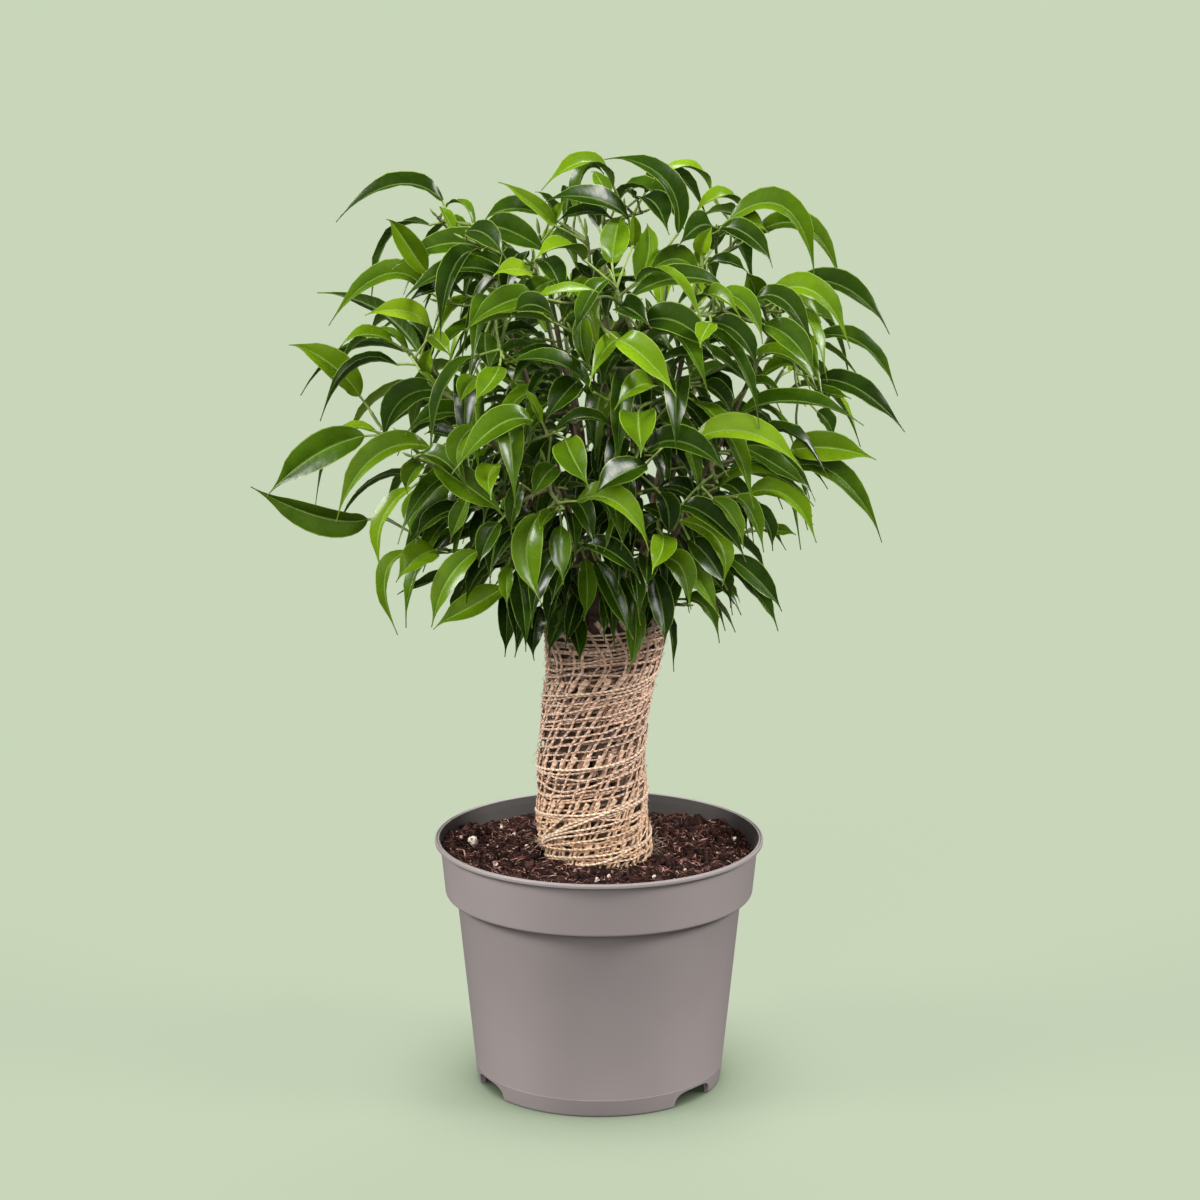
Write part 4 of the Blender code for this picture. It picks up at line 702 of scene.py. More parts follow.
def likely_wood(plant, base, along):
    """The best places for a leaf to grow from, each with its distance and the way from it to the leaf."""
    spots = np.array([w[0] for w in plant.wood])
    ways = np.array([w[1] for w in plant.wood])
    gaps = base - spots
    far = np.linalg.norm(gaps, axis=1)
    heading = gaps / np.maximum(far, 1e-6)[:, None]
    cost = far * (1.7 - 0.7 * (heading @ along)) * (1.3 - 0.3 * (heading * ways).sum(axis=1))
    cost[far < SUPPORT_GAP] = 1e9
    cost[(heading @ along) < -0.35] += 60
    chosen = []
    for i in np.argsort(cost)[:SUPPORTS_SEEN]:
        if all(np.linalg.norm(spots[i] - spots[j]) > SUPPORT_GAP for j in chosen):
            chosen.append(i)
        if len(chosen) == SUPPORTS_TRIED:
            break
    return [(plant.wood[i], far[i], heading[i]) for i in chosen]


def new_twig(spot, way, radius, base, back):
    """A bent twig from the wood to a node just before the leaf: the node, its line and its radii."""
    node = base - back * TWIG_END
    span = node - spot
    length = float(np.linalg.norm(span))
    lift = spot + unit(way * 0.8 + span / length) * length * 0.35
    arrive = node - unit(back + UP * 0.25) * length * 0.3
    line = [bezier(spot, lift, arrive, node, t) for t in (0, 0.48, 1.0)]
    line[-1] = node + unit(node - line[-2]) * 1.4
    thick = min(TWIG_RADIUS, radius * 0.85)
    return node, line, [thick, thick * 0.9, 0.85]


def find_support(plant, leaf):
    """Where the leaf grows from: straight from near wood by its petiole, or by a new twig."""
    base = leaf["base"]
    along = midrib(leaf, 0)[1]
    for (spot, way, radius, owner), far, heading in likely_wood(plant, base, along):
        if far <= LONGEST_PETIOLE:
            start = spot + heading * (radius + OFF_WOOD)
            if not plant.hits(petiole_mesh(start, base, CLEAR), owner):
                return owner, spot, None
            continue
        node, line, radii = new_twig(spot, way, radius, base, unit(along + heading * 0.7))
        clear_line = [spot + unit(line[1] - spot) * (radius + OFF_WOOD)] + line[1:]
        if plant.hits(tube_mesh(clear_line, radii, CLEAR), owner):
            continue
        start = node + unit(base - node) * OFF_NODE
        if not plant.hits(petiole_mesh(start, base, CLEAR), owner):
            return owner, node, (line, radii)
    return None


def try_leaf(plant, leaf):
    if any(plant.hits(blade) for blade in blade_meshes(leaf, CLEAR)):
        return False
    found = find_support(plant, leaf)
    if found is None:
        return False
    owner, root, twig = found
    if twig:
        plant.twigs.append((owner, twig[0], twig[1]))
        plant.add(tube_mesh(twig[0], twig[1], 0.05), owner, "wood")
        plant.add_wood(twig[0], twig[1], owner, 1)
    leaf["root"] = root
    leaf["owner"] = owner
    plant.leaves.append(leaf)
    start = root + unit(leaf["base"] - root) * OFF_NODE
    plant.add(petiole_mesh(start, leaf["base"], 0.02), owner, "petiole")
    for blade in blade_meshes(leaf, 0.02):
        plant.add(blade, owner, "blade")
    return True


def try_drawn(plant, row, shifts):
    return any(try_leaf(plant, drawn_leaf(row, shift)) for shift in shifts)


def place_drawn(plant):
    """Places the leaves read one by one, those nearest to a stem first, and counts the ones left out."""
    stems = np.array([w[0] for w in plant.wood])
    rows = []
    for row in LEAVES:
        base = drawn_leaf(row, 0)["base"]
        rows.append((float(np.linalg.norm(stems - base, axis=1).min()), row))
    rows.sort(key=lambda item: item[0])
    return sum(not try_drawn(plant, row, SHIFTS) for _, row in rows)


def fill_leaf(spot, way, radius, side, chance):
    """A leaf grown sideways from the wood, arching out of the crown and drooping to its tip."""
    outward = (spot - np.array(CROWN_MIDDLE)) * (1.0, 1.25, 0.8)
    outward = unit(outward + UP * 14.0)
    across = unit(np.cross(way, outward + np.array((0.01, 0.0, 0.02)))) * side
    jitter = np.array([chance.uniform(-0.35, 0.35) for _ in range(3)])
    heading = unit(outward * 0.8 + across * 0.55 + way * 0.3 + jitter)
    base = spot + heading * (radius + chance.uniform(9.0, 13.0))
    length = chance.uniform(44.0, 60.0)
    level = unit(heading * (1.0, 1.0, 0.35) + UP * 1e-3)
    droop = chance.uniform(0.35, 0.95)
    tip = base + level * length * math.cos(droop) - UP * length * math.sin(droop)
    bend = base + unit(heading + UP * 0.15) * length * 0.52
    chord = unit(tip - base)
    up = UP + outward * 0.4 + across * chance.uniform(-0.5, 0.5)
    facing = unit(up - chord * float(up @ chord))
    tone = min(1.0, max(0.0, chance.gauss(0.34, 0.2)))
    return {
        "base": base,
        "bend": bend,
        "tip": tip,
        "width": chance.uniform(12.5, 17.0),
        "facing": facing,
        "tone": tone,
        "drawn": False,
    }


def inside_crown(leaf):
    for point in (leaf["tip"], leaf["bend"] * 0.5 + (leaf["base"] + leaf["tip"]) * 0.25):
        offset = (point - np.array(CROWN_MIDDLE)) / np.array(FILL_HALF)
        if float(offset @ offset) > 1.0 or point[2] < FILL_BOTTOM:
            return False
    return True


def place_fill(plant, wanted):
    """Fills the sides, the back and the inside, taking the emptiest place first."""
    chance = random.Random(SEED)
    sites = []
    for spot, way, radius, _ in plant.wood:
        if spot[2] > FILL_WOOD:
            for side in (-1, 1):
                sites.append((spot, way, radius, side, fill_leaf(spot, way, radius, side, chance)))
    middles = np.array([(s[4]["base"] + s[4]["tip"]) / 2 for s in sites])
    room = np.full(len(sites), 1e9)
    for leaf in plant.leaves:
        room = np.minimum(room, np.linalg.norm(middles - (leaf["base"] + leaf["tip"]) / 2, axis=1))
    placed = 0
    while placed < wanted and room.max() > 0:
        i = int(np.argmax(room))
        spot, way, radius, side, leaf = sites[i]
        room[i] = -1
        for attempt in range(5):
            if attempt:
                leaf = fill_leaf(spot, way, radius, side, chance)
            if inside_crown(leaf) and try_leaf(plant, leaf):
                placed += 1
                centre = (leaf["base"] + leaf["tip"]) / 2
                room = np.minimum(room, np.linalg.norm(middles - centre, axis=1))
                break
    return placed


def grow_plant():
    plant = Plant()
    stems = [stem_line(k) for k in range(len(STEM_ENDS))]
    for k, (line, radii) in enumerate(stems):
        # A square tube must be this much wider to hold the stem's round one
        wide = [radius * 1.3 for radius in radii[4:]]
        plant.add(tube_mesh(line[4:], wide, 0.1), k, "wood")
        plant.add_wood(line, radii, k, 6)
    wrap_rows = [(height, shift, outer + CLEAR) for height, shift, outer in TRUNK]
    wrap_rows.append((NET_TOP,) + wrap_rows[-1][1:])
    plant.add(drum_mesh(wrap_rows, NET_STEPS), -1, "wrap")
    missed = place_drawn(plant)
    placed = place_fill(plant, FILL_LEAVES)
    print(f"{len(plant.leaves)} leaves, {missed} missed, {placed} fill, {len(plant.twigs)} twigs")
    return stems, plant


def short_leaf(spot, way, radius, side, chance):
    """A small leaf low on the stems, just above the netting, darkened with painted shade."""
    leaf = fill_leaf(spot, way, radius, side, chance)
    shrink = chance.uniform(0.5, 0.75)
    for part in ("bend", "tip"):
        leaf[part] = leaf["base"] + (leaf[part] - leaf["base"]) * shrink
    leaf["width"] *= 0.8
    # Painted shade: the halved tone stands for the shadow these leaves lie in
    leaf["tone"] *= 0.5
    return leaf


def low_leaf(*place):
    """A short leaf, or none where it would hang too low."""
    leaf = short_leaf(*place)
    return leaf if min(leaf["tip"][2], leaf["bend"][2]) >= LOWEST_LEAF else None


def outer_leaf(spot, way, radius, side, chance):
    """A leaf of the crown's sides and back, or none outside them. Fewer are kept high up."""
    leaf = fill_leaf(spot, way, radius, side, chance)
    leaf["width"] *= chance.uniform(0.8, 1.05)
    high = (leaf["tip"][2] - 330) / 60
    if high > 0 and chance.random() < min(0.7, high * 0.45):
        return None
    return leaf if inside_crown(leaf) else None


def over_open_air(leaf):
    """Whether the camera would see the leaf in one of the open places at the crown's edge."""
    for first, second in (("base", "bend"), ("bend", "tip")):
        for share in (0.0, 0.5, 1.0):
            point = leaf[first] * (1 - share) + leaf[second] * share
            seen = EYE + (point - EYE) * (-EYE[1] / (point[1] - EYE[1]))
            for x, z, wide, high in OPEN_AIR:
                if math.hypot((seen[0] - x) / wide, (seen[2] - z) / high) < 1:
                    return True
    return False


def grow_more(plant):
    """The leaves that the solids leave out: some drawn ones, then a fuller inside, sides and back."""
    added = sum(try_drawn(plant, row, EXTRA_SHIFTS) for row in EXTRA_LEAVES)
    chance = random.Random(SEED + 1)
    low = [w for w in plant.wood if LOW_WOOD[0] < w[0][2] < LOW_WOOD[1] and w[2] > 1.6]
    inner = [w for w in plant.wood if INNER_WOOD[0] < w[0][2] < INNER_WOOD[1]]
    inner = [w for w in inner if math.hypot(w[0][0], w[0][1]) < INNER_REACH]
    outer = [w for w in plant.wood if w[0][2] > OUTER_WOOD]
    for places in (low, inner, outer):
        chance.shuffle(places)
    counts = []
    for places, wanted, make in (
        (low * 4, LOW_LEAVES, low_leaf),
        (inner * 3, INNER_LEAVES, short_leaf),
        (outer * 4, MORE_LEAVES, outer_leaf),
    ):
        counts.append(0)
        for spot, way, radius, _ in places:
            if counts[-1] == wanted:
                break
            leaf = make(spot, way, radius, chance.choice((-1, 1)), chance)
            if leaf and not over_open_air(leaf) and try_leaf(plant, leaf):
                counts[-1] += 1
    print(f"{added} more drawn leaves, fill leaves low {counts[0]}, inner {counts[1]}, outer {counts[2]}")


def paint_crown_shade(plant):
    """Paints shade into the leaves' tone: darker in the middle than at the crown's sides, most of all low
    down, where the crown's inside lies in shadow.
    """
    for leaf in plant.leaves:
        x, z = leaf["bend"][0], leaf["bend"][2]
        side = min(1.0, abs(x) / 105) ** 2
        if z < 405:
            leaf["tone"] *= 0.8 + (0.2 if leaf["drawn"] else 0.6) * side
        if abs(x) < 72 and z < 345:
            leaf["tone"] *= 0.9 if leaf["drawn"] else 0.55


# Shapes for the render are gathered in millimetres and made into one mesh for each piece
class Shape:
    """The points, faces and looks of one piece, with values at its points for its materials."""

    def __init__(self, *value_names):
        self.points = []
        self.faces = []
        self.looks = []
        self.values = {name: [] for name in value_names}
        self.count = 0

    def add(self, points, faces, look=0, **values):
        self.points.append(np.asarray(points, float))
        for face in faces:
            self.faces.append([corner + self.count for corner in face])
        self.looks.append(np.full(len(faces), look) if np.isscalar(look) else np.asarray(look))
        for name, rows in self.values.items():
            given = np.asarray(values[name], float)
            rows.append(np.broadcast_to(given, (len(points), 3)))
        self.count += len(points)

    def build(self, name, materials, sharp_deg=None):
        data = bpy.data.meshes.new(name)
        data.from_pydata((np.concatenate(self.points) * MM).tolist(), [], self.faces)
        data.polygons.foreach_set("material_index", np.concatenate(self.looks).astype(np.int32))
        for value_name, rows in self.values.items():
            layer = data.attributes.new(value_name, "FLOAT_VECTOR", "POINT")
            layer.data.foreach_set("vector", np.concatenate(rows).astype(np.float32).ravel())
        data.polygons.foreach_set("use_smooth", [True] * len(data.polygons))
        for made in materials:
            data.materials.append(made)
        data.update()
        if sharp_deg:
            data.set_sharp_from_angle(angle=math.radians(sharp_deg))
        made = bpy.data.objects.new(name, data)
        bpy.context.scene.collection.objects.link(made)
        return made


def grid_faces(rows, columns, closed, first=0, flip=False):
    """Quads between rows of points, each row joined to the next, and round to itself if closed."""
    faces = []
    for i in range(rows - 1):
        for j in range(columns if closed else columns - 1):
            a = first + i * columns + j
            b = first + i * columns + (j + 1) % columns
            quad = (a, b, b + columns, a + columns)
            faces.append(quad[::-1] if flip else quad)
    return faces


def tube(line, wide, thick, outward, sides):
    """A closed tube of oval section along a line: its width lies across, its thickness outward."""
    line = np.asarray(line, float)
    count = len(line)
    along = np.gradient(line, axis=0)
    along /= np.maximum(np.linalg.norm(along, axis=1), 1e-9)[:, None]
    out = np.broadcast_to(np.asarray(outward, float), line.shape)
    across = np.cross(along, out)
    across /= np.maximum(np.linalg.norm(across, axis=1), 1e-9)[:, None]
    out = np.cross(across, along)
    wide = np.broadcast_to(wide, count)[:, None, None]
    thick = np.broadcast_to(thick, count)[:, None, None]
    turn = 2 * np.pi * np.arange(sides) / sides
    rings = line[:, None] + across[:, None] * wide * np.cos(turn)[:, None]
    rings = rings + out[:, None] * thick * np.sin(turn)[:, None]
    faces = grid_faces(count, sides, True)
    faces.append(tuple(range(sides))[::-1])
    faces.append(tuple(range((count - 1) * sides, count * sides)))
    lengths = np.linalg.norm(np.diff(line, axis=0), axis=1)
    travel = np.concatenate([[0.0], np.cumsum(lengths)])
    along_value = np.repeat(travel, sides)
    round_value = np.tile(turn, count)
    return rings.reshape(-1, 3), faces, along_value, round_value


def smooth_line(points, values, step):
    """A curve through the points, with the values carried along it, in steps of about that length."""
    points, values = np.asarray(points, float), np.asarray(values, float)
    padded = np.vstack([2 * points[0] - points[1], points, 2 * points[-1] - points[-2]])
    line, carried = [points[0]], [values[0]]
    for i in range(len(points) - 1):
        a, b, c, d = padded[i : i + 4]
        count = max(1, round(float(np.linalg.norm(c - b)) / step))
        for k in range(1, count + 1):
            t = k / count
            line.append(
                0.5 * (2 * b + (c - a) * t + (2 * a - 5 * b + 4 * c - d) * t * t)
                + 0.5 * (3 * b - a - 3 * c + d) * t**3
            )
            carried.append(values[i] * (1 - t) + values[i + 1] * t)
    return np.array(line), np.array(carried)


# Leaves: a glossy upper face, a paler underside with a raised midrib, waved margins and a drip tip
def fine_half_width(leaf, u):
    """An oval body that narrows in a hollow curve to a short drip tip."""
    part = u / 0.97
    body = math.sin(math.pi * part**0.8) ** 0.75 * leaf["width"] / 2 if 0 < part < 1 else 0.0
    body *= 1 - 0.6 * smooth_step((u - 0.7) / 0.24)
    return max(body, PETIOLE_RADIUS if u == 0 else 0.3)


def smooth_step(t):
    t = min(1.0, max(0.0, t))
    return t * t * (3 - 2 * t)


def add_leaf(shape, leaf, chance):
    travel = np.linspace(0, 1, 1 + (LEAF_STEPS if leaf["drawn"] else LEAF_STEPS - 4))
    travel = travel - 0.55 * np.sin(2 * np.pi * travel) / (2 * np.pi)
    waves = chance.uniform(1.6, 3.2)
    phases = (chance.uniform(0, 6.3), chance.uniform(0, 6.3))
    ripple = chance.uniform(0.25, 0.7)
    twist = math.radians(chance.uniform(-9, 9))
    hook = chance.uniform(-1.2, 1.2)
    hue = chance.random()
    fold = math.radians(FOLD_DEG * chance.uniform(0.9, 1.55))
    upper, lower, values = [], [], []
    for u in travel:
        point, along, facing = midrib(leaf, u)
        side = np.cross(along, facing)
        turn = twist * (u - 0.25)
        turned_side = side * math.cos(turn) + facing * math.sin(turn)
        facing = facing * math.cos(turn) - side * math.sin(turn)
        side = turned_side
        half = fine_half_width(leaf, u)
        bent = fold * min(1.0, u * 6)
        beyond = max(0.0, u - 0.84) / 0.16
        point = point + side * hook * beyond**2 - UP * 1.4 * beyond**2
        rib = min(0.32, 0.62 * (1 - 0.75 * u) / half)
        for way in (-1.0, -0.72, -0.4, -rib, 0.0, rib, 0.4, 0.72, 1.0):
            lift = half * math.sin(bent) * (1.3 * abs(way) - 0.3 * way * way)
            phase = phases[0] if way < 0 else phases[1]
            lift += ripple * way * way * math.sin(2 * math.pi * waves * u + phase) * math.sin(math.pi * u)
            spot = point + side * half * math.cos(bent) * way + facing * lift
            thick = 0.17 * (1 - 0.5 * way * way)
            groove = 0.16 * (1 - u) if way == 0 else 0.0
            ridge = 0.42 * (1 - 0.8 * u) if way == 0 else 0.1 if abs(way) == rib else 0.0
            upper.append(spot + facing * (thick - groove))
            lower.append(spot - facing * (thick + ridge))
            values.append((u, way, leaf["tone"]))
    faces, looks = blade_faces(len(travel), LEAF_COLUMNS)
    shape.add(upper + lower, faces, looks, leaf=values * 2, hue=hue)


def blade_faces(rows, columns):
    """Faces between a blade's upper points and its lower ones, and which of them are the underside."""
    count = rows * columns
    faces = grid_faces(rows, columns, False)
    looks = [0] * len(faces)
    faces += grid_faces(rows, columns, False, count, True)
    looks += [1] * (len(faces) - len(looks))
    for j in (0, columns - 1):
        for i in range(rows - 1):
            a, b = i * columns + j, (i + 1) * columns + j
            rim = (a, b, b + count, a + count)
            faces.append(rim if j == 0 else rim[::-1])
    last = (rows - 1) * columns
    for j in range(columns - 1):
        faces.append((j + 1, j, j + count, j + 1 + count))
        faces.append((last + j, last + j + 1, last + j + 1 + count, last + j + count))
    looks += [0] * (len(faces) - len(looks))
    return faces, looks


def add_petiole(shape, leaf):
    root, base = leaf["root"], leaf["base"]
    length = float(np.linalg.norm(base - root))
    middle = (root + base) / 2 + UP * 0.05 * length
    t = np.linspace(0, 1, 8)
    radius = 0.58 + 0.45 * np.exp(-t / 0.14) + 0.14 * np.exp(-(1 - t) / 0.1)
    points, faces, _, _ = tube(curve(root, middle, base, t[:, None]), radius, radius, ASIDE, PETIOLE_SIDES)
    shape.add(points, faces, 1, wood=np.repeat(t, PETIOLE_SIDES)[:, None])


def add_bud(shape, spot, way, length, radius):
    """The pointed sheath that closes each growing tip."""
    steps = np.linspace(0, 1, 7)
    line = spot + way * length * steps[:, None] + UP * 0.12 * length * steps[:, None] ** 2
    widths = radius * np.sin(np.pi * (0.18 + 0.82 * (1 - steps))) ** 0.6 * (1 - steps) ** 0.45 + 0.1
    points, faces, _, _ = tube(line, widths, widths, ASIDE, PETIOLE_SIDES)
    shape.add(points, faces, 1, wood=1.0)


def add_wood(shape, points, radii, sides, chance, young):
    """Bark along a stem or twig, swollen a little at each node. young is 1 for a green twig."""
    line, radius = smooth_line(points, radii, WOOD_STEP)
    # The stems are slimmer above the netting than the solids that stand for them
    slim = np.clip((line[:, 2] - 246) / 45, 0, 1) * (1 - young)
    radius = radius * (1 - 0.36 * slim)
    travel = np.arange(len(line)) * WOOD_STEP
    gap = chance.uniform(11, 15)
    radius = radius * (1 + 0.16 * np.exp(-(((travel + gap / 2) % gap - gap / 2) / 1.6) ** 2))
    sway = 0.12 * np.sin(2 * np.pi * travel / (2 * gap))
    line[1:-1, 0] += sway[1:-1]
    spots, faces, _, _ = tube(line, radius, radius, ASIDE, sides)
    shape.add(spots, faces, 0, wood=np.repeat(radius, sides)[:, None])


def build_leafy_stem(index, line, radii, plant, looks):
    name = f"leafy_stem_{index + 1:02d}"
    chance = random.Random(SEED * 100 + index)
    leaves = Shape("leaf", "hue")
    wood = Shape("wood")
    add_wood(wood, line, radii, 12, chance, 0.0)
    add_bud(wood, line[-1], unit(line[-1] - line[-2]), 8.0, radii[-1] * 0.95)
    for owner, twig, thick in plant.twigs:
        if owner == index:
            add_wood(wood, twig, thick, 8, chance, 1.0)
            add_bud(wood, twig[-1], unit(twig[-1] - twig[-2]), 5.5, 0.85)
    for leaf in plant.leaves:
        if leaf["owner"] == index:
            add_leaf(leaves, leaf, chance)
            add_petiole(wood, leaf)
    crown = leaves.build(name + "_leaves", [looks["leaf_top"], looks["leaf_under"]], 50)
    bare = wood.build(name + "_wood", [looks["bark"], looks["petiole"]], 60)
    for piece in (crown, bare):
        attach(piece, "root")
    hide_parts(name)


# The netting: one strip wound upwards round the bundle, its yarns laid one by one
def strip_edge(turns):
    """Height of the wound strip's upper edge, after that many turns from the front."""
    turns = np.clip(turns, STRIP_EDGE[0][0], STRIP_EDGE[-1][0])
    starts, heights, slopes = np.array(STRIP_EDGE).T
    i = np.clip(np.searchsorted(starts, turns, side="right") - 1, 0, len(starts) - 2)
    width = starts[i + 1] - starts[i]
    t = (turns - starts[i]) / width
    rise = (2 * t**3 - 3 * t**2 + 1) * heights[i] + (3 * t**2 - 2 * t**3) * heights[i + 1]
    return rise + width * ((t**3 - 2 * t**2 + t) * slopes[i] + (t**3 - t**2) * slopes[i + 1])


def on_wrap(turns, height, proud):
    """The point on the trunk at that many turns from the front, and the way out from it."""
    angle = 2 * np.pi * turns - np.pi / 2
    shift, outer = trunk(height)
    out = np.column_stack([np.cos(angle), np.sin(angle), np.zeros(len(angle))])
    flare = np.maximum(0.0, height - 246.0) * 0.3
    centre = np.column_stack([shift, np.zeros(len(angle)), height])
    return centre + out * (outer + proud + flare)[:, None], out


def layer_depth(below):
    """How far a yarn lies inside the trunk's outer radius: a lower turn covers the one above it."""
    return -0.45 - 1.5 * np.clip(below / STRIP_WIDTH, 0, 1)


def slow_noise(chance, reach):
    """A smooth random curve of values within reach, over turns."""
    waves = [(chance.uniform(0.6, 3.5), chance.uniform(0, 6.3)) for _ in range(4)]
    return lambda t: reach * sum(np.sin(2 * np.pi * w * t + p) for w, p in waves) / 2.4


def add_yarn(shape, turns, height, proud, wide, thick, chance, shade):
    line, out = on_wrap(turns, height, proud)
    points, faces, travel, turn = tube(line, wide, thick, out, 6)
    value = np.column_stack([travel, turn, np.full(len(points), shade + chance.uniform(-0.18, 0.18))])
    shape.add(points, faces, 0, yarn=value)
    return line, out


def above_soil(turns, height, below):
    """The part of a yarn that shows."""
    seen = height > SOIL_TOP - BURIED
    return turns[seen], height[seen], below[seen]


def lay_wefts(shape, chance, first, last, drop, sunk, rows):
    """The yarns along a strip, the first of them its pale edge of two yarns."""
    laid = []
    sway = slow_noise(chance, 1.3)
    for row in rows:
        wander = slow_noise(chance, 0.9)
        quick = slow_noise(chance, 0.35)
        turns = np.arange(first, last, WEFT_STEP / TURN_LENGTH)
        waves = wander(turns) + quick(turns * 4) + sway(turns + row * 0.06)
        below = row * ROW_GAP + (waves if row else 0.3 * quick(turns * 3))
        turns, height, below = above_soil(turns, strip_edge(turns) - drop - below, below)
        if len(turns) < 4:
            continue
        weave = 0.3 * np.cos(np.pi * (turns * WARPS_A_TURN + row))
        if row == 0:
            wide, shade, weave = 0.66, 1.0, np.full(len(turns), 0.6)
        else:
            wide, shade = chance.uniform(0.48, 0.68), 0.45
        proud = layer_depth(below) - sunk + weave
        # The shade value drops with depth, which the jute look turns into painted shade
        laid.append(add_yarn(shape, turns, height, proud, wide, wide, chance, shade - sunk * 0.45))
        if row == 0:
            plied = 1.7 + 0.8 * np.sin(2 * np.pi * turns * 3.3)
            proud = layer_depth(below) - sunk + 0.3
            add_yarn(shape, turns, height - plied, proud, 0.5, 0.5, chance, 0.5)
    return laid


def lay_warps(shape, chance, first, last, drop, sunk, low_lean, top_lean, every):
    """The yarns across a strip, each with a frayed end that stands up over its edge."""
    laid = []
    for k in range(0, int((last - first) * WARPS_A_TURN), every):
        start = first + (k + chance.uniform(-0.22, 0.22)) / WARPS_A_TURN
        top = smooth_step((start - 3.0) / 0.5)
        stub = chance.uniform(4.5, 7.5) * (1 + 0.5 * top)
        below = np.arange(-stub, STRIP_WIDTH, WARP_STEP)
        # In the top turn the warps lean the other way at first and then bend back
        bent = top * np.clip((24 - below) / 12, 0, 1)
        lean = low_lean * (1 - bent) + top_lean * bent + chance.uniform(-6, 6)
        slope = np.tan(np.radians(lean))
        shift = slow_noise(chance, 0.5)
        across = WARP_STEP * np.cumsum(slope) - stub * slope[0]
        turns = start - (across + shift(below / 20)) / TURN_LENGTH
        turns, height, below = above_soil(turns, strip_edge(turns) - drop - below, below)
        if len(turns) < 4:
            continue
        weave = -0.3 * np.cos(np.pi * (k + np.clip(below / ROW_GAP, 0, None))) * (below > 0)
        fray = np.clip(-below / 5.0, 0, 1)
        size = chance.uniform(0.62, 0.92)
        wide = size * (1 + 0.95 * fray)
        thick = size * (0.68 - 0.3 * fray)
        proud = layer_depth(below) - sunk + weave + 0.3 * fray
        # The shade value drops with depth, which the jute look turns into painted shade
        laid.append(add_yarn(shape, turns, height, proud, wide, thick, chance, 0.4 - sunk * 0.4))
    return laid


def wind_strip(shape, chance, first, last, drop, sunk, low_lean, top_lean, every):
    """One layer of netting wound from one turn to another."""
    rows = range(0, STRIP_ROWS, 1 if every else 3)
    laid = lay_wefts(shape, chance, first, last, drop, sunk, rows)
    if every:
        laid += lay_warps(shape, chance, first, last, drop, sunk, low_lean, top_lean, every)
    return laid


def lay_foot_strands(shape, chance):
    """The strip's loose lower end: pale strands that fan out over the foot from one twist."""
    spots = []
    for first, middle, last, shade, size in FOOT_STRANDS:
        rows = np.array([first, middle, last])
        t = np.linspace(0, 1, 26)
        weights = np.column_stack([(1 - t) * (1 - 2 * t), 4 * t * (1 - t), t * (2 * t - 1)])
        turns, height = (weights @ rows).T
        height = height + 0.5 * np.sin(t * chance.uniform(5, 9) + chance.uniform(0, 6.3))
        proud = 0.75 + 0.35 * np.sin(t * chance.uniform(4, 8)) - 1.1 * np.clip(t - 0.85, 0, 1) / 0.15
        wide = size * np.clip(0.45 + np.sin(np.pi * np.clip(t, 0.02, 0.98)) ** 0.4 * 0.6, 0, 1)
        spots.append(add_yarn(shape, turns, height, proud, wide, wide * 0.8, chance, shade))
    return spots


def build_netting(look):
    chance = random.Random(SEED + 10)
    shape = Shape("yarn")
    layers = [wind_strip(shape, chance, *layer) for layer in NET_LAYERS]
    yarns = layers[0] + lay_foot_strands(shape, chance)
    netting = shape.build("jute_netting", [look])
    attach(netting, "root")
    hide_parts("jute_wrap")
    return yarns


def add_hair(shape, start, way, length, radius, chance, sag=0.0):
    curl = random_way(chance) * length * 0.35
    steps = np.linspace(0, 1, 5)[:, None]
    hair = start + way * length * steps + curl * steps**2
    hair[:, 2] -= sag * steps[:, 0] ** 2
    points, faces, travel, turn = tube(hair, radius, radius, (0.1, 0.9, 0.4), 3)
    shape.add(points, faces, 0, yarn=np.column_stack([travel, turn, np.full(len(points), 0.9)]))


def build_jute_fibres(yarns, look):
    """Loose hairs that stand off the yarns, and frayed ends that lie on the soil round the foot."""
    chance = random.Random(SEED + 20)
    shape = Shape("yarn")
    for _ in range(JUTE_HAIRS):
        line, out = yarns[chance.randrange(len(yarns))]
        i = chance.randrange(len(line) - 1)
        along = unit(line[i + 1] - line[i]) * chance.choice((-1, 1))
        way = unit(out[i] * chance.uniform(0.15, 0.8) + along + random_way(chance) * 0.4)
        low = max(0.0, (150 - line[i][2]) / 30)
        add_hair(shape, line[i], way, chance.uniform(2.0, 4.0 + 3.5 * low), 0.09, chance)
    middle = trunk(SOIL_TOP)
    for _ in range(FOOT_HAIRS):
        angle = chance.uniform(0, 2 * math.pi)
        out = np.array((math.cos(angle), math.sin(angle), 0.0))
        start = np.array((middle[0], 0.0, 0.0)) + out * (middle[1] - chance.uniform(0.2, 2.0))
        start[2] = rough_height(start[0], start[1]) + chance.uniform(0.0, 5.0)
        side = np.array((-out[1], out[0], 0.0)) * chance.uniform(-1.2, 1.2)
        way = unit(out * chance.uniform(0.3, 1.0) + side + UP * chance.uniform(-0.1, 0.5))
        length = chance.uniform(3.0, 11.0)
        add_hair(shape, start, way, length, chance.uniform(0.06, 0.14), chance, length * 0.3)
    fibres = shape.build("jute_fibres", [look])
    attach(fibres, "root")


def random_way(chance):
    return unit(np.array([chance.gauss(0, 1) for _ in range(3)]))


# Soil: a rough crumbly top with lumps, fibres and white perlite
def revolve(profile, steps):
    """Rings of points round the upright axis, closed at both ends of the profile."""
    turn = 2 * np.pi * np.arange(steps) / steps
    rings = [np.column_stack([r * np.cos(turn), r * np.sin(turn), np.full(steps, z)]) for r, z in profile]
    faces = grid_faces(len(profile), steps, True)
    faces.append(tuple(range(steps))[::-1])
    faces.append(tuple(range((len(profile) - 1) * steps, len(profile) * steps)))
    return np.concatenate(rings), faces


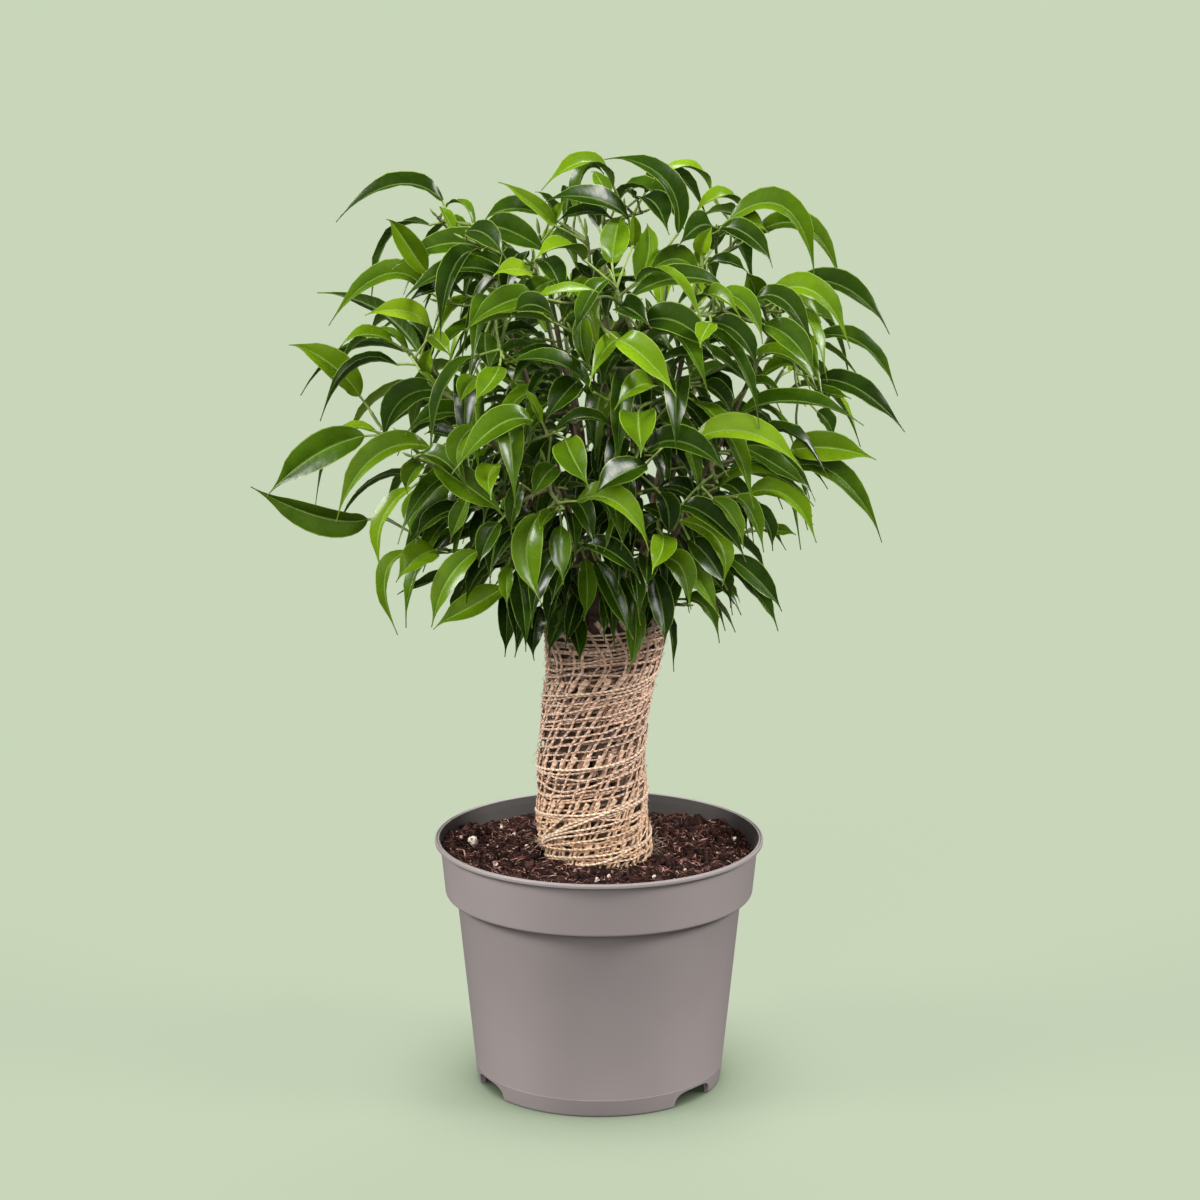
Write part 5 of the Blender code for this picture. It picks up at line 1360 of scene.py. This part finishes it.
def soil_height(x, y):
    """The uneven top of the soil, a little heaped round the trunk."""
    far = math.hypot(x, y)
    waves = 1.1 * math.sin(0.11 * x + 0.7) * math.cos(0.09 * y - 0.4)
    waves += 0.7 * math.sin(0.23 * x - 0.17 * y + 2.0)
    heap = 1.6 * math.exp(-(((far - 34) / 16) ** 2))
    dip = 0.8 * math.exp(-(((far - 80) / 9) ** 2))
    return SOIL_TOP + waves + heap - dip


def heap_at(x, y):
    """How much higher the soil lies against the pot's wall, and in a clump at the netting's foot."""
    angles, rises = zip(*HEAPS)
    high = float(np.interp(math.degrees(math.atan2(y, x)), angles, rises))
    clump = 6.5 * math.exp(-(((x + 33) / 6) ** 2) - ((y + 13) / 7) ** 2)
    return clump + high * math.exp(-(((math.hypot(x, y) - 80) / 11) ** 2))


def rough_height(x, y):
    crumbs = noise.fractal(Vector((x / 8.0, y / 8.0, 3.0)), 0.8, 2.2, 5)
    clods = abs(noise.noise(Vector((x / 2.9, y / 2.9, 9.0)))) - 0.2
    grains = noise.noise(Vector((x / 1.3, y / 1.3, 5.0)))
    height = soil_height(x, y) + heap_at(x, y) + 1.8 * crumbs - 2.4 * clods + 0.6 * grains
    return min(height, POT_HEIGHT - 2.0)


def collar_inside(height):
    """The radius of the collar's inner face at a height."""
    heights = (COLLAR_BOTTOM + 1.8, POT_HEIGHT - 4.0, POT_HEIGHT - 0.5)
    return float(np.interp(height, heights, (COLLAR_RADIUS - 1.9, RIM_RADIUS - 4.0, RIM_RADIUS - 2.6)))


def build_soil(look):
    inner = FOOT_RADIUS - WALL
    at_step = inner + WALL_TAPER * COLLAR_BOTTOM
    edge = collar_inside(SOIL_TOP) - 0.4
    start = trunk(WRAP_SEAT)[1] - 2.0
    profile = [(start - 1.0, STEM_HOLE_FLOOR), (start - 1.0, SOIL_TOP - 6)]
    profile += [(start + (edge - start) * k / SOIL_RINGS, SOIL_TOP) for k in range(SOIL_RINGS + 1)]
    profile += [
        (COLLAR_RADIUS - 2.4, COLLAR_BOTTOM + 2.2),
        (at_step - 0.4, COLLAR_BOTTOM + 1.4),
        (inner + WALL_TAPER * FLOOR_TOP - GAP, FLOOR_TOP + 1.8),
        (inner - 2.2, FLOOR_TOP + GAP),
    ]
    points, faces = revolve(profile, SOIL_STEPS)
    top = points[:, 2] == SOIL_TOP
    near = np.hypot(points[:, 0], points[:, 1]) < start + 2
    ends = (WRAP_SEAT, SOIL_TOP)
    points[near, 0] += np.interp(points[near, 2], ends, trunk(ends)[0])
    values = np.full((len(points), 3), 0.5)
    for i in np.nonzero(top)[0]:
        x, y = points[i, :2]
        points[i, 2] = rough_height(x, y)
        # How far the point lies above or below the smooth top, which the soil look uses to paint shade
        # into the hollows
        values[i, 1] = (points[i, 2] - soil_height(x, y) - heap_at(x, y)) / 2.2
        far = math.hypot(x, y)
        if far > edge - 0.1:
            points[i, :2] *= (collar_inside(points[i, 2]) - 0.4) / far
    shape = Shape("grain")
    shape.add(points, [face[::-1] for face in faces], 0, grain=values)
    soil = shape.build("soil_bed", [look], 80)
    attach(soil, "root")
    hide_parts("soil")


def soil_spot(chance):
    """A place on the open ring of soil between the trunk and the pot."""
    far = math.sqrt(chance.uniform(SOIL_RING[0] ** 2, SOIL_RING[1] ** 2))
    angle = chance.uniform(0, 2 * math.pi)
    return far * math.cos(angle), far * math.sin(angle)


def ball_template(rings):
    ball = bmesh.new()
    bmesh.ops.create_icosphere(ball, subdivisions=rings, radius=1.0)
    points = np.array([tuple(v.co) for v in ball.verts])
    faces = [tuple(v.index for v in face.verts) for face in ball.faces]
    ball.free()
    return points, faces


def add_lump(shape, ball, chance, size, flat, sink, seed):
    points, faces = ball
    x, y = soil_spot(chance)
    seat = rough_height(x, y)
    rough = [1 + 0.85 * noise.noise(Vector(p) * 1.7 + Vector((seed * 3.1, 0, 0))) for p in points]
    stretch = np.array((size * chance.uniform(0.7, 1.5), size, size * flat))
    spin = np.array(Euler([chance.uniform(0, 6.3) for _ in range(3)]).to_matrix())
    lump = (points * np.array(rough)[:, None] * stretch) @ spin.T
    shape.add(lump + (x, y, seat + size * sink), faces, 0, grain=(chance.random(), 1.0, 1.0))


def lay_lumps(chance):
    shape = Shape("grain")
    ball = ball_template(2)
    for k in range(SOIL_LUMPS):
        size = 0.8 + 2.0 * chance.random() ** 3
        add_lump(shape, ball, chance, size, chance.uniform(0.6, 1.0), chance.uniform(-0.1, 0.45), k)
    return shape


def lay_perlite(chance):
    shape = Shape("grain")
    ball = ball_template(2)
    for k in range(PERLITE):
        add_lump(shape, ball, chance, 0.35 + 0.75 * chance.random() ** 2, 0.8, 0.5, k + 900)
    points, faces = ball_template(3)
    for k, (x, y, size) in enumerate(BIG_PERLITE):
        rough = [1 + 0.5 * noise.noise(Vector(p) * 1.5 + Vector((k * 5.1, 2, 0))) for p in points]
        grain = points * np.array(rough)[:, None] * (size * 0.9, size * 0.8, size * 1.2)
        shape.add(grain + (x, y, rough_height(x, y) + size * 0.5), faces, 0, grain=0.3)
    return shape


def lay_fibres(chance):
    """Thin curled fibres all over the soil, which lift off it and bend back down."""
    shape = Shape("grain")
    steps = np.linspace(0, 1, 5)[:, None]
    for _ in range(SOIL_FIBRES):
        x, y = soil_spot(chance)
        angle = chance.uniform(0, 2 * math.pi)
        length = 1.8 + 6.5 * chance.random() ** 2
        way = np.array((math.cos(angle), math.sin(angle), chance.uniform(-0.2, 0.75)))
        side = np.array((-math.sin(angle), math.cos(angle), 0.2)) * chance.uniform(-0.6, 0.6)
        start = np.array((x, y, rough_height(x, y) + 0.1))
        line = start + way * length * steps + side * length * steps * (1 - steps) * 2
        line[:, 2] += -1.6 * (way[2] + 0.12) * length * steps[:, 0] ** 2
        reach = np.hypot(line[:, 0], line[:, 1])
        if reach.max() > 80.2 or reach.min() < 31:
            continue
        radius = chance.uniform(0.12, 0.38)
        points, faces, _, _ = tube(line, radius, radius, (0.1, 0.2, 1.0), 3)
        shape.add(points, faces, 0, grain=chance.random())
    return shape


def build_soil_bits(looks):
    chance = random.Random(SEED + 30)
    lumps, grains, fibres = lay_lumps(chance), lay_perlite(chance), lay_fibres(chance)
    for name, shape, look, sharp_deg in (
        ("soil_lumps", lumps, "soil", 80),
        ("soil_fibres", fibres, "soil_fibre", None),
        ("perlite", grains, "perlite", None),
    ):
        piece = shape.build(name, [looks[look]], sharp_deg)
        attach(piece, "root")


# Pot: the same profile as the solid's with its bends rounded, a rolled lip and a parting line
def arc(start, corner, end, count):
    """A rounded corner from start to end, pulled towards the corner."""
    a, b, c = (np.array(p, float) for p in (start, corner, end))
    return [tuple(curve(a, b, c, k / count)) for k in range(count + 1)]


def squared(share):
    """A share of a round outline's radius, pushed out towards a rounded square's."""
    return math.copysign(abs(share) ** 0.6, share)


def pot_profile():
    """Radius and height of the pot's outline, from its floor up the inside and down the outside."""
    inner = FOOT_RADIUS - WALL
    step = COLLAR_BOTTOM
    at_step = FOOT_RADIUS + WALL_TAPER * step
    collar, lip, top = COLLAR_RADIUS, RIM_RADIUS, POT_HEIGHT
    within = inner + WALL_TAPER * step
    low = inner + WALL_TAPER * FLOOR_TOP
    profile = [(0.8, FLOOR_TOP), (inner - 3.0, FLOOR_TOP)]
    profile += arc((inner - 2.0, FLOOR_TOP), (low, FLOOR_TOP), (low + 0.2, FLOOR_TOP + 2.0), 4)
    profile += arc((within, step + 0.4), (within, step + 1.8), (within + 1.4, step + 1.8), 3)
    profile += arc((collar - 3.2, step + 1.8), (collar - 1.8, step + 1.8), (collar - 1.7, step + 3.2), 3)
    profile += arc((lip - 3.9, top - 4.0), (lip - 3.4, top - 2.8), (lip - 2.4, top - 0.6), 5)
    profile += arc((lip - 2.25, top - 0.2), (lip - 2.1, top), (lip - 1.85, top), 3)
    profile += [(lip - 1.6, top - 0.1), (lip - 1.2, top - 0.7), (lip - 0.85, top - 0.15)]
    profile += arc((lip - 0.65, top - 0.05), (lip - 0.05, top - 0.1), (lip, top - 0.7), 4)
    profile += arc((lip, top - 1.6), (lip, top - 2.15), (lip - 0.6, top - 2.2), 3)
    profile += arc((lip - 2.2, top - 2.3), (lip - 2.8, top - 2.4), (lip - 2.8, top - 3.2), 3)
    profile += arc((collar + 0.05, step + 1.6), (collar, step), (collar - 1.0, step - 0.1), 5)
    profile += arc((at_step + 1.0, step - 0.1), (at_step + 0.1, step - 0.1), (at_step, step - 1.2), 4)
    # The foot stands a hair proud below its parting line
    profile += [(FOOT_RADIUS + 0.96, 9.6), (FOOT_RADIUS + 1.02, 9.35)]
    profile += [(FOOT_RADIUS + 1.09, 9.2), (FOOT_RADIUS + 1.05, 8.8)]
    profile += arc((FOOT_RADIUS - 0.05, 1.4), (FOOT_RADIUS - 0.2, 0.0), (FOOT_RADIUS - 1.2, 0.0), 4)
    profile += [(FOOT_RADIUS - 2.6, 0.0), (FOOT_RADIUS - 3.0, FLOOR_TOP - 1.8)]
    return profile + [(PAD_RADIUS + 0.8, FLOOR_TOP - 1.8), (PAD_RADIUS, 0.0), (0.8, 0.0)]


def pot_cutters():
    """What the notches in the foot and the drain holes are cut with."""
    cutters = []
    for degrees in FOOT_NOTCHES_DEG:
        angle = math.radians(degrees - 90)
        radius = NOTCH_WIDTH / 2
        bpy.ops.mesh.primitive_cylinder_add(vertices=64, radius=radius * MM, depth=14 * MM)
        cut = bpy.context.object
        cut.rotation_euler = (math.pi / 2, 0.0, angle + math.pi / 2)
        cut.scale = (1.0, NOTCH_HEIGHT / radius, 1.0)
        middle = (FOOT_RADIUS + 1.7) * MM
        cut.location = (middle * math.cos(angle), middle * math.sin(angle), -0.37 * MM)
        for vertex in cut.data.vertices:
            vertex.co.x = squared(vertex.co.x / (radius * MM)) * radius * MM
            vertex.co.y = squared(vertex.co.y / (radius * MM)) * radius * MM
        cutters.append(cut)
    for k in range(DRAIN_HOLES):
        angle = math.radians(360 / DRAIN_HOLES * (k + 0.5))
        bpy.ops.mesh.primitive_cylinder_add(vertices=40, radius=DRAIN_HOLE_RADIUS * MM, depth=12 * MM)
        cut = bpy.context.object
        far = DRAIN_CIRCLE * MM
        cut.location = (far * math.cos(angle), far * math.sin(angle), FLOOR_TOP * MM)
        cutters.append(cut)
    return cutters


def cut_away(piece, cutters, look):
    for cut in cutters:
        away = piece.modifiers.new("cut", "BOOLEAN")
        away.operation = "DIFFERENCE"
        away.object = cut
        away.solver = "MANIFOLD"
    graph = bpy.context.evaluated_depsgraph_get()
    graph.update()
    data = bpy.data.meshes.new_from_object(piece.evaluated_get(graph))
    piece.modifiers.clear()
    piece.data = data
    for cut in cutters:
        bpy.data.objects.remove(cut)
    data.polygons.foreach_set("use_smooth", [True] * len(data.polygons))
    data.set_sharp_from_angle(angle=math.radians(30))
    data.materials.clear()
    data.materials.append(look)


def build_pot(look):
    points, faces = revolve(pot_profile(), POT_STEPS)
    shape = Shape()
    shape.add(points, [face[::-1] for face in faces])
    pot = shape.build("nursery_pot", [look], 30)
    cut_away(pot, pot_cutters(), look)
    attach(pot, "root")
    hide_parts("pot")


# Looks, each made of procedural nodes only
class Nodes:
    """Short names for the material nodes that the looks are made of."""

    def __init__(self, name):
        self.made = bpy.data.materials.new(name)
        self.made.use_nodes = True
        self.tree = self.made.node_tree
        self.tree.nodes.clear()
        self.shader = self.put("BsdfPrincipled")
        self.put("OutputMaterial", {0: self.shader.outputs[0]})

    def put(self, kind, inputs=(), **settings):
        node = self.tree.nodes.new("ShaderNode" + kind)
        for key, value in settings.items():
            setattr(node, key, value)
        self.fill(node, inputs)
        return node

    def fill(self, node, inputs):
        for socket, value in dict(inputs).items():
            if isinstance(value, bpy.types.NodeSocket):
                self.tree.links.new(value, node.inputs[socket])
            elif isinstance(value, tuple) and len(value) == 3 and node.inputs[socket].type == "RGBA":
                node.inputs[socket].default_value = value + (1.0,)
            else:
                node.inputs[socket].default_value = value

    def finish(self, **inputs):
        self.fill(self.shader, {key.replace("_", " "): value for key, value in inputs.items()})
        return self.made

    def maths(self, operation, *values):
        return self.put("Math", enumerate(values), operation=operation).outputs[0]

    def times(self, first, second):
        return self.maths("MULTIPLY", first, second)

    def plus(self, first, second):
        return self.maths("ADD", first, second)

    def triple(self, name):
        """The three numbers of a value kept at the piece's points."""
        kept = self.put("Attribute", attribute_name=name)
        return self.put("SeparateXYZ", {0: kept.outputs["Vector"]}).outputs

    def place(self):
        return self.put("TexCoord").outputs["Object"]

    def height(self):
        return self.put("SeparateXYZ", {0: self.place()}).outputs[2]

    def noise(self, scale, detail=3.0, vector=None):
        inputs = {"Vector": vector or self.place(), "Scale": scale, "Detail": detail}
        return self.put("TexNoise", inputs).outputs["Fac"]

    def between(self, value, low, high, start=0.0, end=1.0):
        """The value carried smoothly from one range to another, and kept inside it."""
        inputs = {"Value": value, "From Min": low, "From Max": high, "To Min": start, "To Max": end}
        return self.put("MapRange", inputs, interpolation_type="SMOOTHSTEP").outputs[0]

    def ramp(self, value, *stops):
        node = self.put("ValToRGB", {0: value})
        marks = node.color_ramp.elements
        for k, (place, color) in enumerate(stops):
            mark = marks[k] if k < 2 else marks.new(place)
            mark.position = place
            mark.color = color + (1.0,)
        return node.outputs[0]

    def mix(self, share, first, second, way="MIX"):
        node = self.put("Mix", data_type="RGBA", blend_type=way)
        self.fill(node, {0: share, 6: first, 7: second})
        return node.outputs[2]

    def bump(self, height, strength, distance_mm):
        inputs = {"Height": height, "Strength": strength, "Distance": distance_mm * MM}
        return self.put("Bump", inputs).outputs[0]


def leaf_values(nodes):
    """How far along and how far out from the midrib, tone, hue, side veins, and the waves they make."""
    u, way, tone = nodes.triple("leaf")
    hue = nodes.triple("hue")[0]
    out = nodes.maths("ABSOLUTE", way)
    # Painted shade: one half of the blade is a little darker than the other, as the two halves of a folded
    # blade catch the light unequally
    lean = nodes.times(way, nodes.maths("SUBTRACT", hue, 0.5))
    tone = nodes.maths("MULTIPLY_ADD", lean, 0.18, tone)
    sway = nodes.times(nodes.noise(120.0), 0.9)
    slant = nodes.times(out, 1.25)
    count = nodes.maths("SUBTRACT", nodes.times(u, 15.0), slant)
    wave = nodes.maths("SINE", nodes.times(nodes.plus(count, sway), 2 * math.pi))
    vein = nodes.between(wave, 0.72, 1.0)
    vein = nodes.times(vein, nodes.between(out, 0.98, 0.7))
    return u, out, tone, hue, vein, wave


def leaf_top():
    nodes = Nodes("leaf_top")
    u, out, tone, hue, vein, wave = leaf_values(nodes)
    mottle = nodes.noise(60.0, 4.0)
    shade = nodes.plus(tone, nodes.between(mottle, 0.3, 0.7, -0.07, 0.07))
    color = nodes.ramp(
        shade,
        (0.0, (0.008, 0.022, 0.001)),
        (1.0, (0.262, 0.405, 0.012)),
        (0.25, (0.030, 0.070, 0.002)),
        (0.48, (0.087, 0.168, 0.003)),
        (0.72, (0.162, 0.276, 0.004)),
    )
    color = nodes.mix(nodes.times(hue, 0.4), color, (0.72, 0.92, 0.7), "MULTIPLY")
    vein = nodes.times(vein, nodes.times(tone, 0.05))
    color = nodes.mix(vein, color, (0.26, 0.46, 0.09))
    edge = nodes.times(nodes.between(out, 0.92, 0.99), 0.75)
    color = nodes.mix(edge, color, (0.32, 0.48, 0.07))
    rib = nodes.between(out, 0.09, 0.025)
    rib = nodes.times(rib, nodes.between(tone, 0.15, 0.7, 0.38, 0.68))
    color = nodes.mix(rib, color, (0.34, 0.50, 0.12))
    dry = nodes.between(u, 0.955, 1.0, 0.0, 0.6)
    color = nodes.mix(dry, color, (0.20, 0.15, 0.05))
    rough = nodes.between(nodes.noise(300.0, 2.0), 0.3, 0.7, 0.22, 0.30)
    ripple = nodes.plus(nodes.times(wave, 0.01), nodes.noise(70.0, 1.0))
    normal = nodes.bump(ripple, 0.4, 0.9)
    return nodes.finish(Base_Color=color, Roughness=rough, Normal=normal, Specular_IOR_Level=0.25)


def leaf_under():
    nodes = Nodes("leaf_under")
    _, out, tone, _, vein, wave = leaf_values(nodes)
    mottle = nodes.noise(80.0, 3.0)
    shade = nodes.plus(nodes.times(tone, 0.8), nodes.between(mottle, 0.3, 0.7, 0.0, 0.15))
    color = nodes.ramp(
        shade,
        (0.0, (0.036, 0.088, 0.010)),
        (1.0, (0.29, 0.45, 0.05)),
        (0.5, (0.118, 0.228, 0.025)),
    )
    color = nodes.mix(nodes.times(vein, 0.3), color, (0.27, 0.40, 0.15))
    rib = nodes.between(out, 0.2, 0.06)
    color = nodes.mix(nodes.times(rib, 0.8), color, (0.34, 0.48, 0.17))
    normal = nodes.bump(wave, 0.3, 0.1)
    return nodes.finish(Base_Color=color, Roughness=0.48, Normal=normal, Specular_IOR_Level=0.25)


def bark():
    """Grey-brown bark with pale pores on old wood, green on the youngest twigs, and painted shade on the
    stems low down inside the netting.
    """
    nodes = Nodes("bark")
    age = nodes.triple("wood")[0]
    place = nodes.place()
    grain = nodes.noise(260.0, 4.0)
    old = nodes.ramp(grain, (0.3, (0.075, 0.047, 0.030)), (0.75, (0.27, 0.185, 0.125)))
    # Painted shade: below the netting's top the stems are darkened, as they lie in its shadow
    low = nodes.between(nodes.height(), 0.25, 0.29)
    old = nodes.mix(nodes.between(low, 0.0, 1.0, 0.55, 0.0), old, (0.035, 0.022, 0.016))
    fresh = nodes.ramp(grain, (0.3, (0.10, 0.15, 0.035)), (0.8, (0.24, 0.32, 0.085)))
    color = nodes.mix(nodes.between(age, 0.8, 1.5), fresh, old)
    pores = nodes.put("TexVoronoi", {"Vector": place, "Scale": 420.0}).outputs["Distance"]
    spots = nodes.times(nodes.between(pores, 0.22, 0.1), nodes.between(age, 1.4, 2.4))
    color = nodes.mix(nodes.times(spots, 0.6), color, (0.42, 0.34, 0.25))
    stretched = nodes.put("Mapping", {"Vector": place, "Scale": (600.0, 600.0, 120.0)}).outputs[0]
    furrow = nodes.plus(nodes.noise(1.0, 4.0, stretched), nodes.times(spots, 0.5))
    normal = nodes.bump(furrow, 0.6, 0.4)
    return nodes.finish(Base_Color=color, Roughness=0.7, Normal=normal)


def petiole():
    nodes = Nodes("petiole")
    along = nodes.triple("wood")[0]
    grain = nodes.noise(500.0, 2.0)
    color = nodes.ramp(grain, (0.25, (0.20, 0.29, 0.055)), (0.8, (0.38, 0.50, 0.13)))
    root = nodes.between(along, 0.18, 0.0, 0.0, 0.45)
    color = nodes.mix(root, color, (0.22, 0.17, 0.07))
    return nodes.finish(Base_Color=color, Roughness=0.42, Normal=nodes.bump(grain, 0.3, 0.1))


def jute():
    """Two-ply yarn: pinkish tan up the trunk, straw-coloured at its foot, with a pale sheen. Painted light
    makes its top paler under the crown, and painted shade darkens the deeper layers and the grooves
    between the plies.
    """
    nodes = Nodes("jute")
    travel, turn, shade = nodes.triple("yarn")
    up = nodes.between(nodes.height(), 0.125, 0.185)
    color = nodes.mix(up, (0.78, 0.475, 0.27), (0.76, 0.49, 0.355))
    # Painted light: the top of the netting, in the crown's shade, is made paler
    color = nodes.mix(nodes.between(nodes.height(), 0.19, 0.235), color, (0.96, 0.63, 0.45))
    # Painted shade: yarns of the layers that lie behind the outer one are darkened
    depth_shade = nodes.between(shade, 0.15, -0.4, 0.0, 0.7)
    color = nodes.mix(depth_shade, color, (0.22, 0.13, 0.085))
    pale = nodes.between(shade, 0.2, 1.0, 0.0, 0.8)
    color = nodes.mix(pale, color, (0.90, 0.70, 0.51))
    blotch = nodes.noise(190.0, 3.0)
    color = nodes.mix(nodes.between(blotch, 0.55, 0.3, 0.0, 0.45), color, (0.42, 0.25, 0.15))
    twist = nodes.plus(nodes.times(travel, 2.1), nodes.times(turn, 2.0))
    ply = nodes.maths("SINE", twist)
    # Painted shade: the grooves between the plies are darkened
    color = nodes.mix(nodes.between(ply, -0.4, -1.0, 0.0, 0.45), color, (0.22, 0.14, 0.08))
    fuzz = nodes.noise(2200.0, 3.0)
    relief = nodes.plus(nodes.times(ply, 0.6), fuzz)
    normal = nodes.bump(relief, 0.8, 0.35)
    return nodes.finish(Base_Color=color, Roughness=0.85, Normal=normal, Sheen_Weight=0.25)


def peat():
    nodes = Nodes("peat")
    chance, crest, _ = nodes.triple("grain")
    color = nodes.ramp(
        nodes.noise(420.0, 5.0),
        (0.3, (0.005, 0.002, 0.002)),
        (0.8, (0.095, 0.039, 0.030)),
        (0.55, (0.018, 0.008, 0.006)),
    )
    lighter = nodes.between(chance, 0.6, 1.0, 0.0, 0.5)
    color = nodes.mix(lighter, color, (0.12, 0.054, 0.042))
    # Painted shade: the hollows between the crumbs are darkened almost to black
    hollow_shade = nodes.between(crest, 0.15, -0.45, 0.0, 0.9)
    color = nodes.mix(hollow_shade, color, (0.006, 0.003, 0.003))
    normal = nodes.bump(nodes.noise(900.0, 5.0), 0.9, 0.6)
    return nodes.finish(Base_Color=color, Roughness=0.92, Normal=normal, Specular_IOR_Level=0.2)


def peat_fibre():
    nodes = Nodes("peat_fibre")
    chance = nodes.triple("grain")[0]
    shade = nodes.plus(chance, nodes.between(nodes.noise(400.0), 0.3, 0.7, -0.15, 0.15))
    color = nodes.ramp(
        shade,
        (0.1, (0.020, 0.008, 0.006)),
        (1.0, (0.56, 0.36, 0.28)),
        (0.5, (0.085, 0.034, 0.027)),
        (0.9, (0.22, 0.100, 0.080)),
    )
    return nodes.finish(Base_Color=color, Roughness=0.9, Specular_IOR_Level=0.2)


def perlite():
    nodes = Nodes("perlite")
    chance = nodes.triple("grain")[0]
    pits = nodes.noise(700.0, 3.0)
    color = nodes.mix(nodes.between(chance, 0.3, 1.0, 0.0, 0.9), (0.74, 0.66, 0.57), (0.50, 0.32, 0.26))
    color = nodes.mix(nodes.between(pits, 0.47, 0.36, 0.0, 0.9), color, (0.12, 0.06, 0.045))
    return nodes.finish(Base_Color=color, Roughness=0.85, Normal=nodes.bump(pits, 0.7, 0.5))


def pot_plastic():
    """Taupe-grey moulded plastic, faintly clouded and pale-specked, with fine turning lines."""
    nodes = Nodes("pot_plastic")
    place = nodes.place()
    cloud = nodes.noise(14.0, 4.0)
    color = nodes.ramp(cloud, (0.3, (0.254, 0.224, 0.220)), (0.7, (0.278, 0.246, 0.242)))
    x, y, z = nodes.put("SeparateXYZ", {0: place}).outputs
    # Painted light: the collar is made paler than the wall below it, to stand for the brighter light on it
    color = nodes.mix(nodes.between(z, 0.1005, 0.1020), color, (1.17, 1.17, 1.17), "MULTIPLY")
    reach = nodes.maths("SQRT", nodes.plus(nodes.maths("POWER", x, 2.0), nodes.maths("POWER", y, 2.0)))
    # Inside this radius, which widens with height, lies the collar's inner face, which gets painted shade
    # and a rougher finish
    wall = nodes.maths("MULTIPLY_ADD", nodes.maths("SUBTRACT", z, 0.1033), 0.125, 0.0789)
    wall = nodes.plus(wall, nodes.between(z, 0.1262, 0.1296, 0.0, 0.0012))
    within = nodes.between(nodes.maths("SUBTRACT", reach, wall), 0.0003, -0.0003)
    within = nodes.times(within, nodes.between(z, 0.1302, 0.1298))
    within = nodes.times(within, nodes.between(z, 0.1020, 0.1034))
    color = nodes.mix(nodes.times(within, 0.95), color, (0.036, 0.033, 0.031))
    specks = nodes.noise(2600.0, 2.0)
    color = nodes.mix(nodes.between(specks, 0.66, 0.8, 0.0, 0.25), color, (0.42, 0.38, 0.36))
    lines = nodes.put("Mapping", {"Vector": place, "Scale": (6.0, 6.0, 900.0)}).outputs[0]
    fine = nodes.noise(1.0, 3.0, lines)
    rough = nodes.between(nodes.noise(40.0, 4.0), 0.3, 0.7, 0.42, 0.52)
    rough = nodes.maths("MULTIPLY_ADD", within, 0.42, rough)
    relief = nodes.plus(nodes.noise(1500.0, 3.0), nodes.times(fine, 0.6))
    return nodes.finish(Base_Color=color, Roughness=rough, Normal=nodes.bump(relief, 0.14, 0.2))


# Stage
def add_floor():
    nodes = Nodes("floor")
    open_air = nodes.put("AmbientOcclusion", {"Distance": 0.075}, samples=8).outputs["AO"]
    # Painted shadow: the glow fades to the shadow colour where the pot is near
    shade = nodes.between(open_air, 0.25, 1.0)
    glow = nodes.mix(shade, FLOOR_SHADOW, FLOOR_GLOW)
    # Painted shadow: close to the pot and under its notches the glow gets much darker
    near = nodes.between(open_air, 0.60, 0.10, 0.0, 0.96)
    glow = nodes.mix(near, glow, (0.008, 0.011, 0.007))
    look = nodes.finish(
        Base_Color=FLOOR_COLOR,
        Roughness=1.0,
        Specular_IOR_Level=0.0,
        Emission_Color=glow,
        Emission_Strength=1.0,
    )
    bpy.ops.mesh.primitive_plane_add(size=FLOOR_SIZE, location=(0.0, 0.0, 0.0))
    floor = bpy.context.object
    floor.name = "floor"
    floor.data.materials.append(look)
    # The floor's own colour isn't thrown back on the plant
    floor.visible_diffuse = False
    floor.visible_glossy = False


def add_light():
    scene = bpy.context.scene
    world = bpy.data.worlds.new("soft_light")
    scene.world = world
    world.use_nodes = True
    back = world.node_tree.nodes["Background"]
    back.inputs[0].default_value = WORLD_COLOR + (1.0,)
    back.inputs[1].default_value = WORLD_STRENGTH
    for name, strength, color, spread_deg, elevation, azimuth in LAMPS:
        light = bpy.data.lights.new(name, "SUN")
        light.energy = strength
        light.color = color
        light.angle = math.radians(spread_deg)
        lamp = bpy.data.objects.new(name, light)
        # Only the two side lamps are mirrored, so that no grey veil lies on the leaves
        lamp.visible_glossy = name in ("left", "right")
        scene.collection.objects.link(lamp)
        # Turned to shine from that height, and from that way round from the front
        lamp.rotation_euler = (math.radians(90 - elevation), 0.0, math.radians(azimuth))


def add_camera():
    scene = bpy.context.scene
    data = bpy.data.cameras.new("camera")
    data.angle = math.radians(VIEW_DEG)
    camera = bpy.data.objects.new("camera", data)
    camera.location = (CAMERA_SHIFT * MM, EYE[1] * MM, EYE[2] * MM)
    camera.rotation_euler = (math.radians(90.0 - LOOK_DOWN_DEG), 0.0, 0.0)
    scene.collection.objects.link(camera)
    scene.camera = camera
    scene.view_settings.view_transform = "Standard"


def main():
    looks = {
        "leaf_top": leaf_top(),
        "leaf_under": leaf_under(),
        "bark": bark(),
        "petiole": petiole(),
        "jute": jute(),
        "soil": peat(),
        "soil_fibre": peat_fibre(),
        "perlite": perlite(),
        "pot": pot_plastic(),
    }
    stems, plant = grow_plant()
    grow_more(plant)
    paint_crown_shade(plant)
    for k, (line, radii) in enumerate(stems):
        build_leafy_stem(k, line, radii, plant, looks)
    yarns = build_netting(looks["jute"])
    build_jute_fibres(yarns, looks["jute"])
    build_soil(looks["soil"])
    build_soil_bits(looks)
    build_pot(looks["pot"])
    add_floor()
    add_light()
    add_camera()


main()
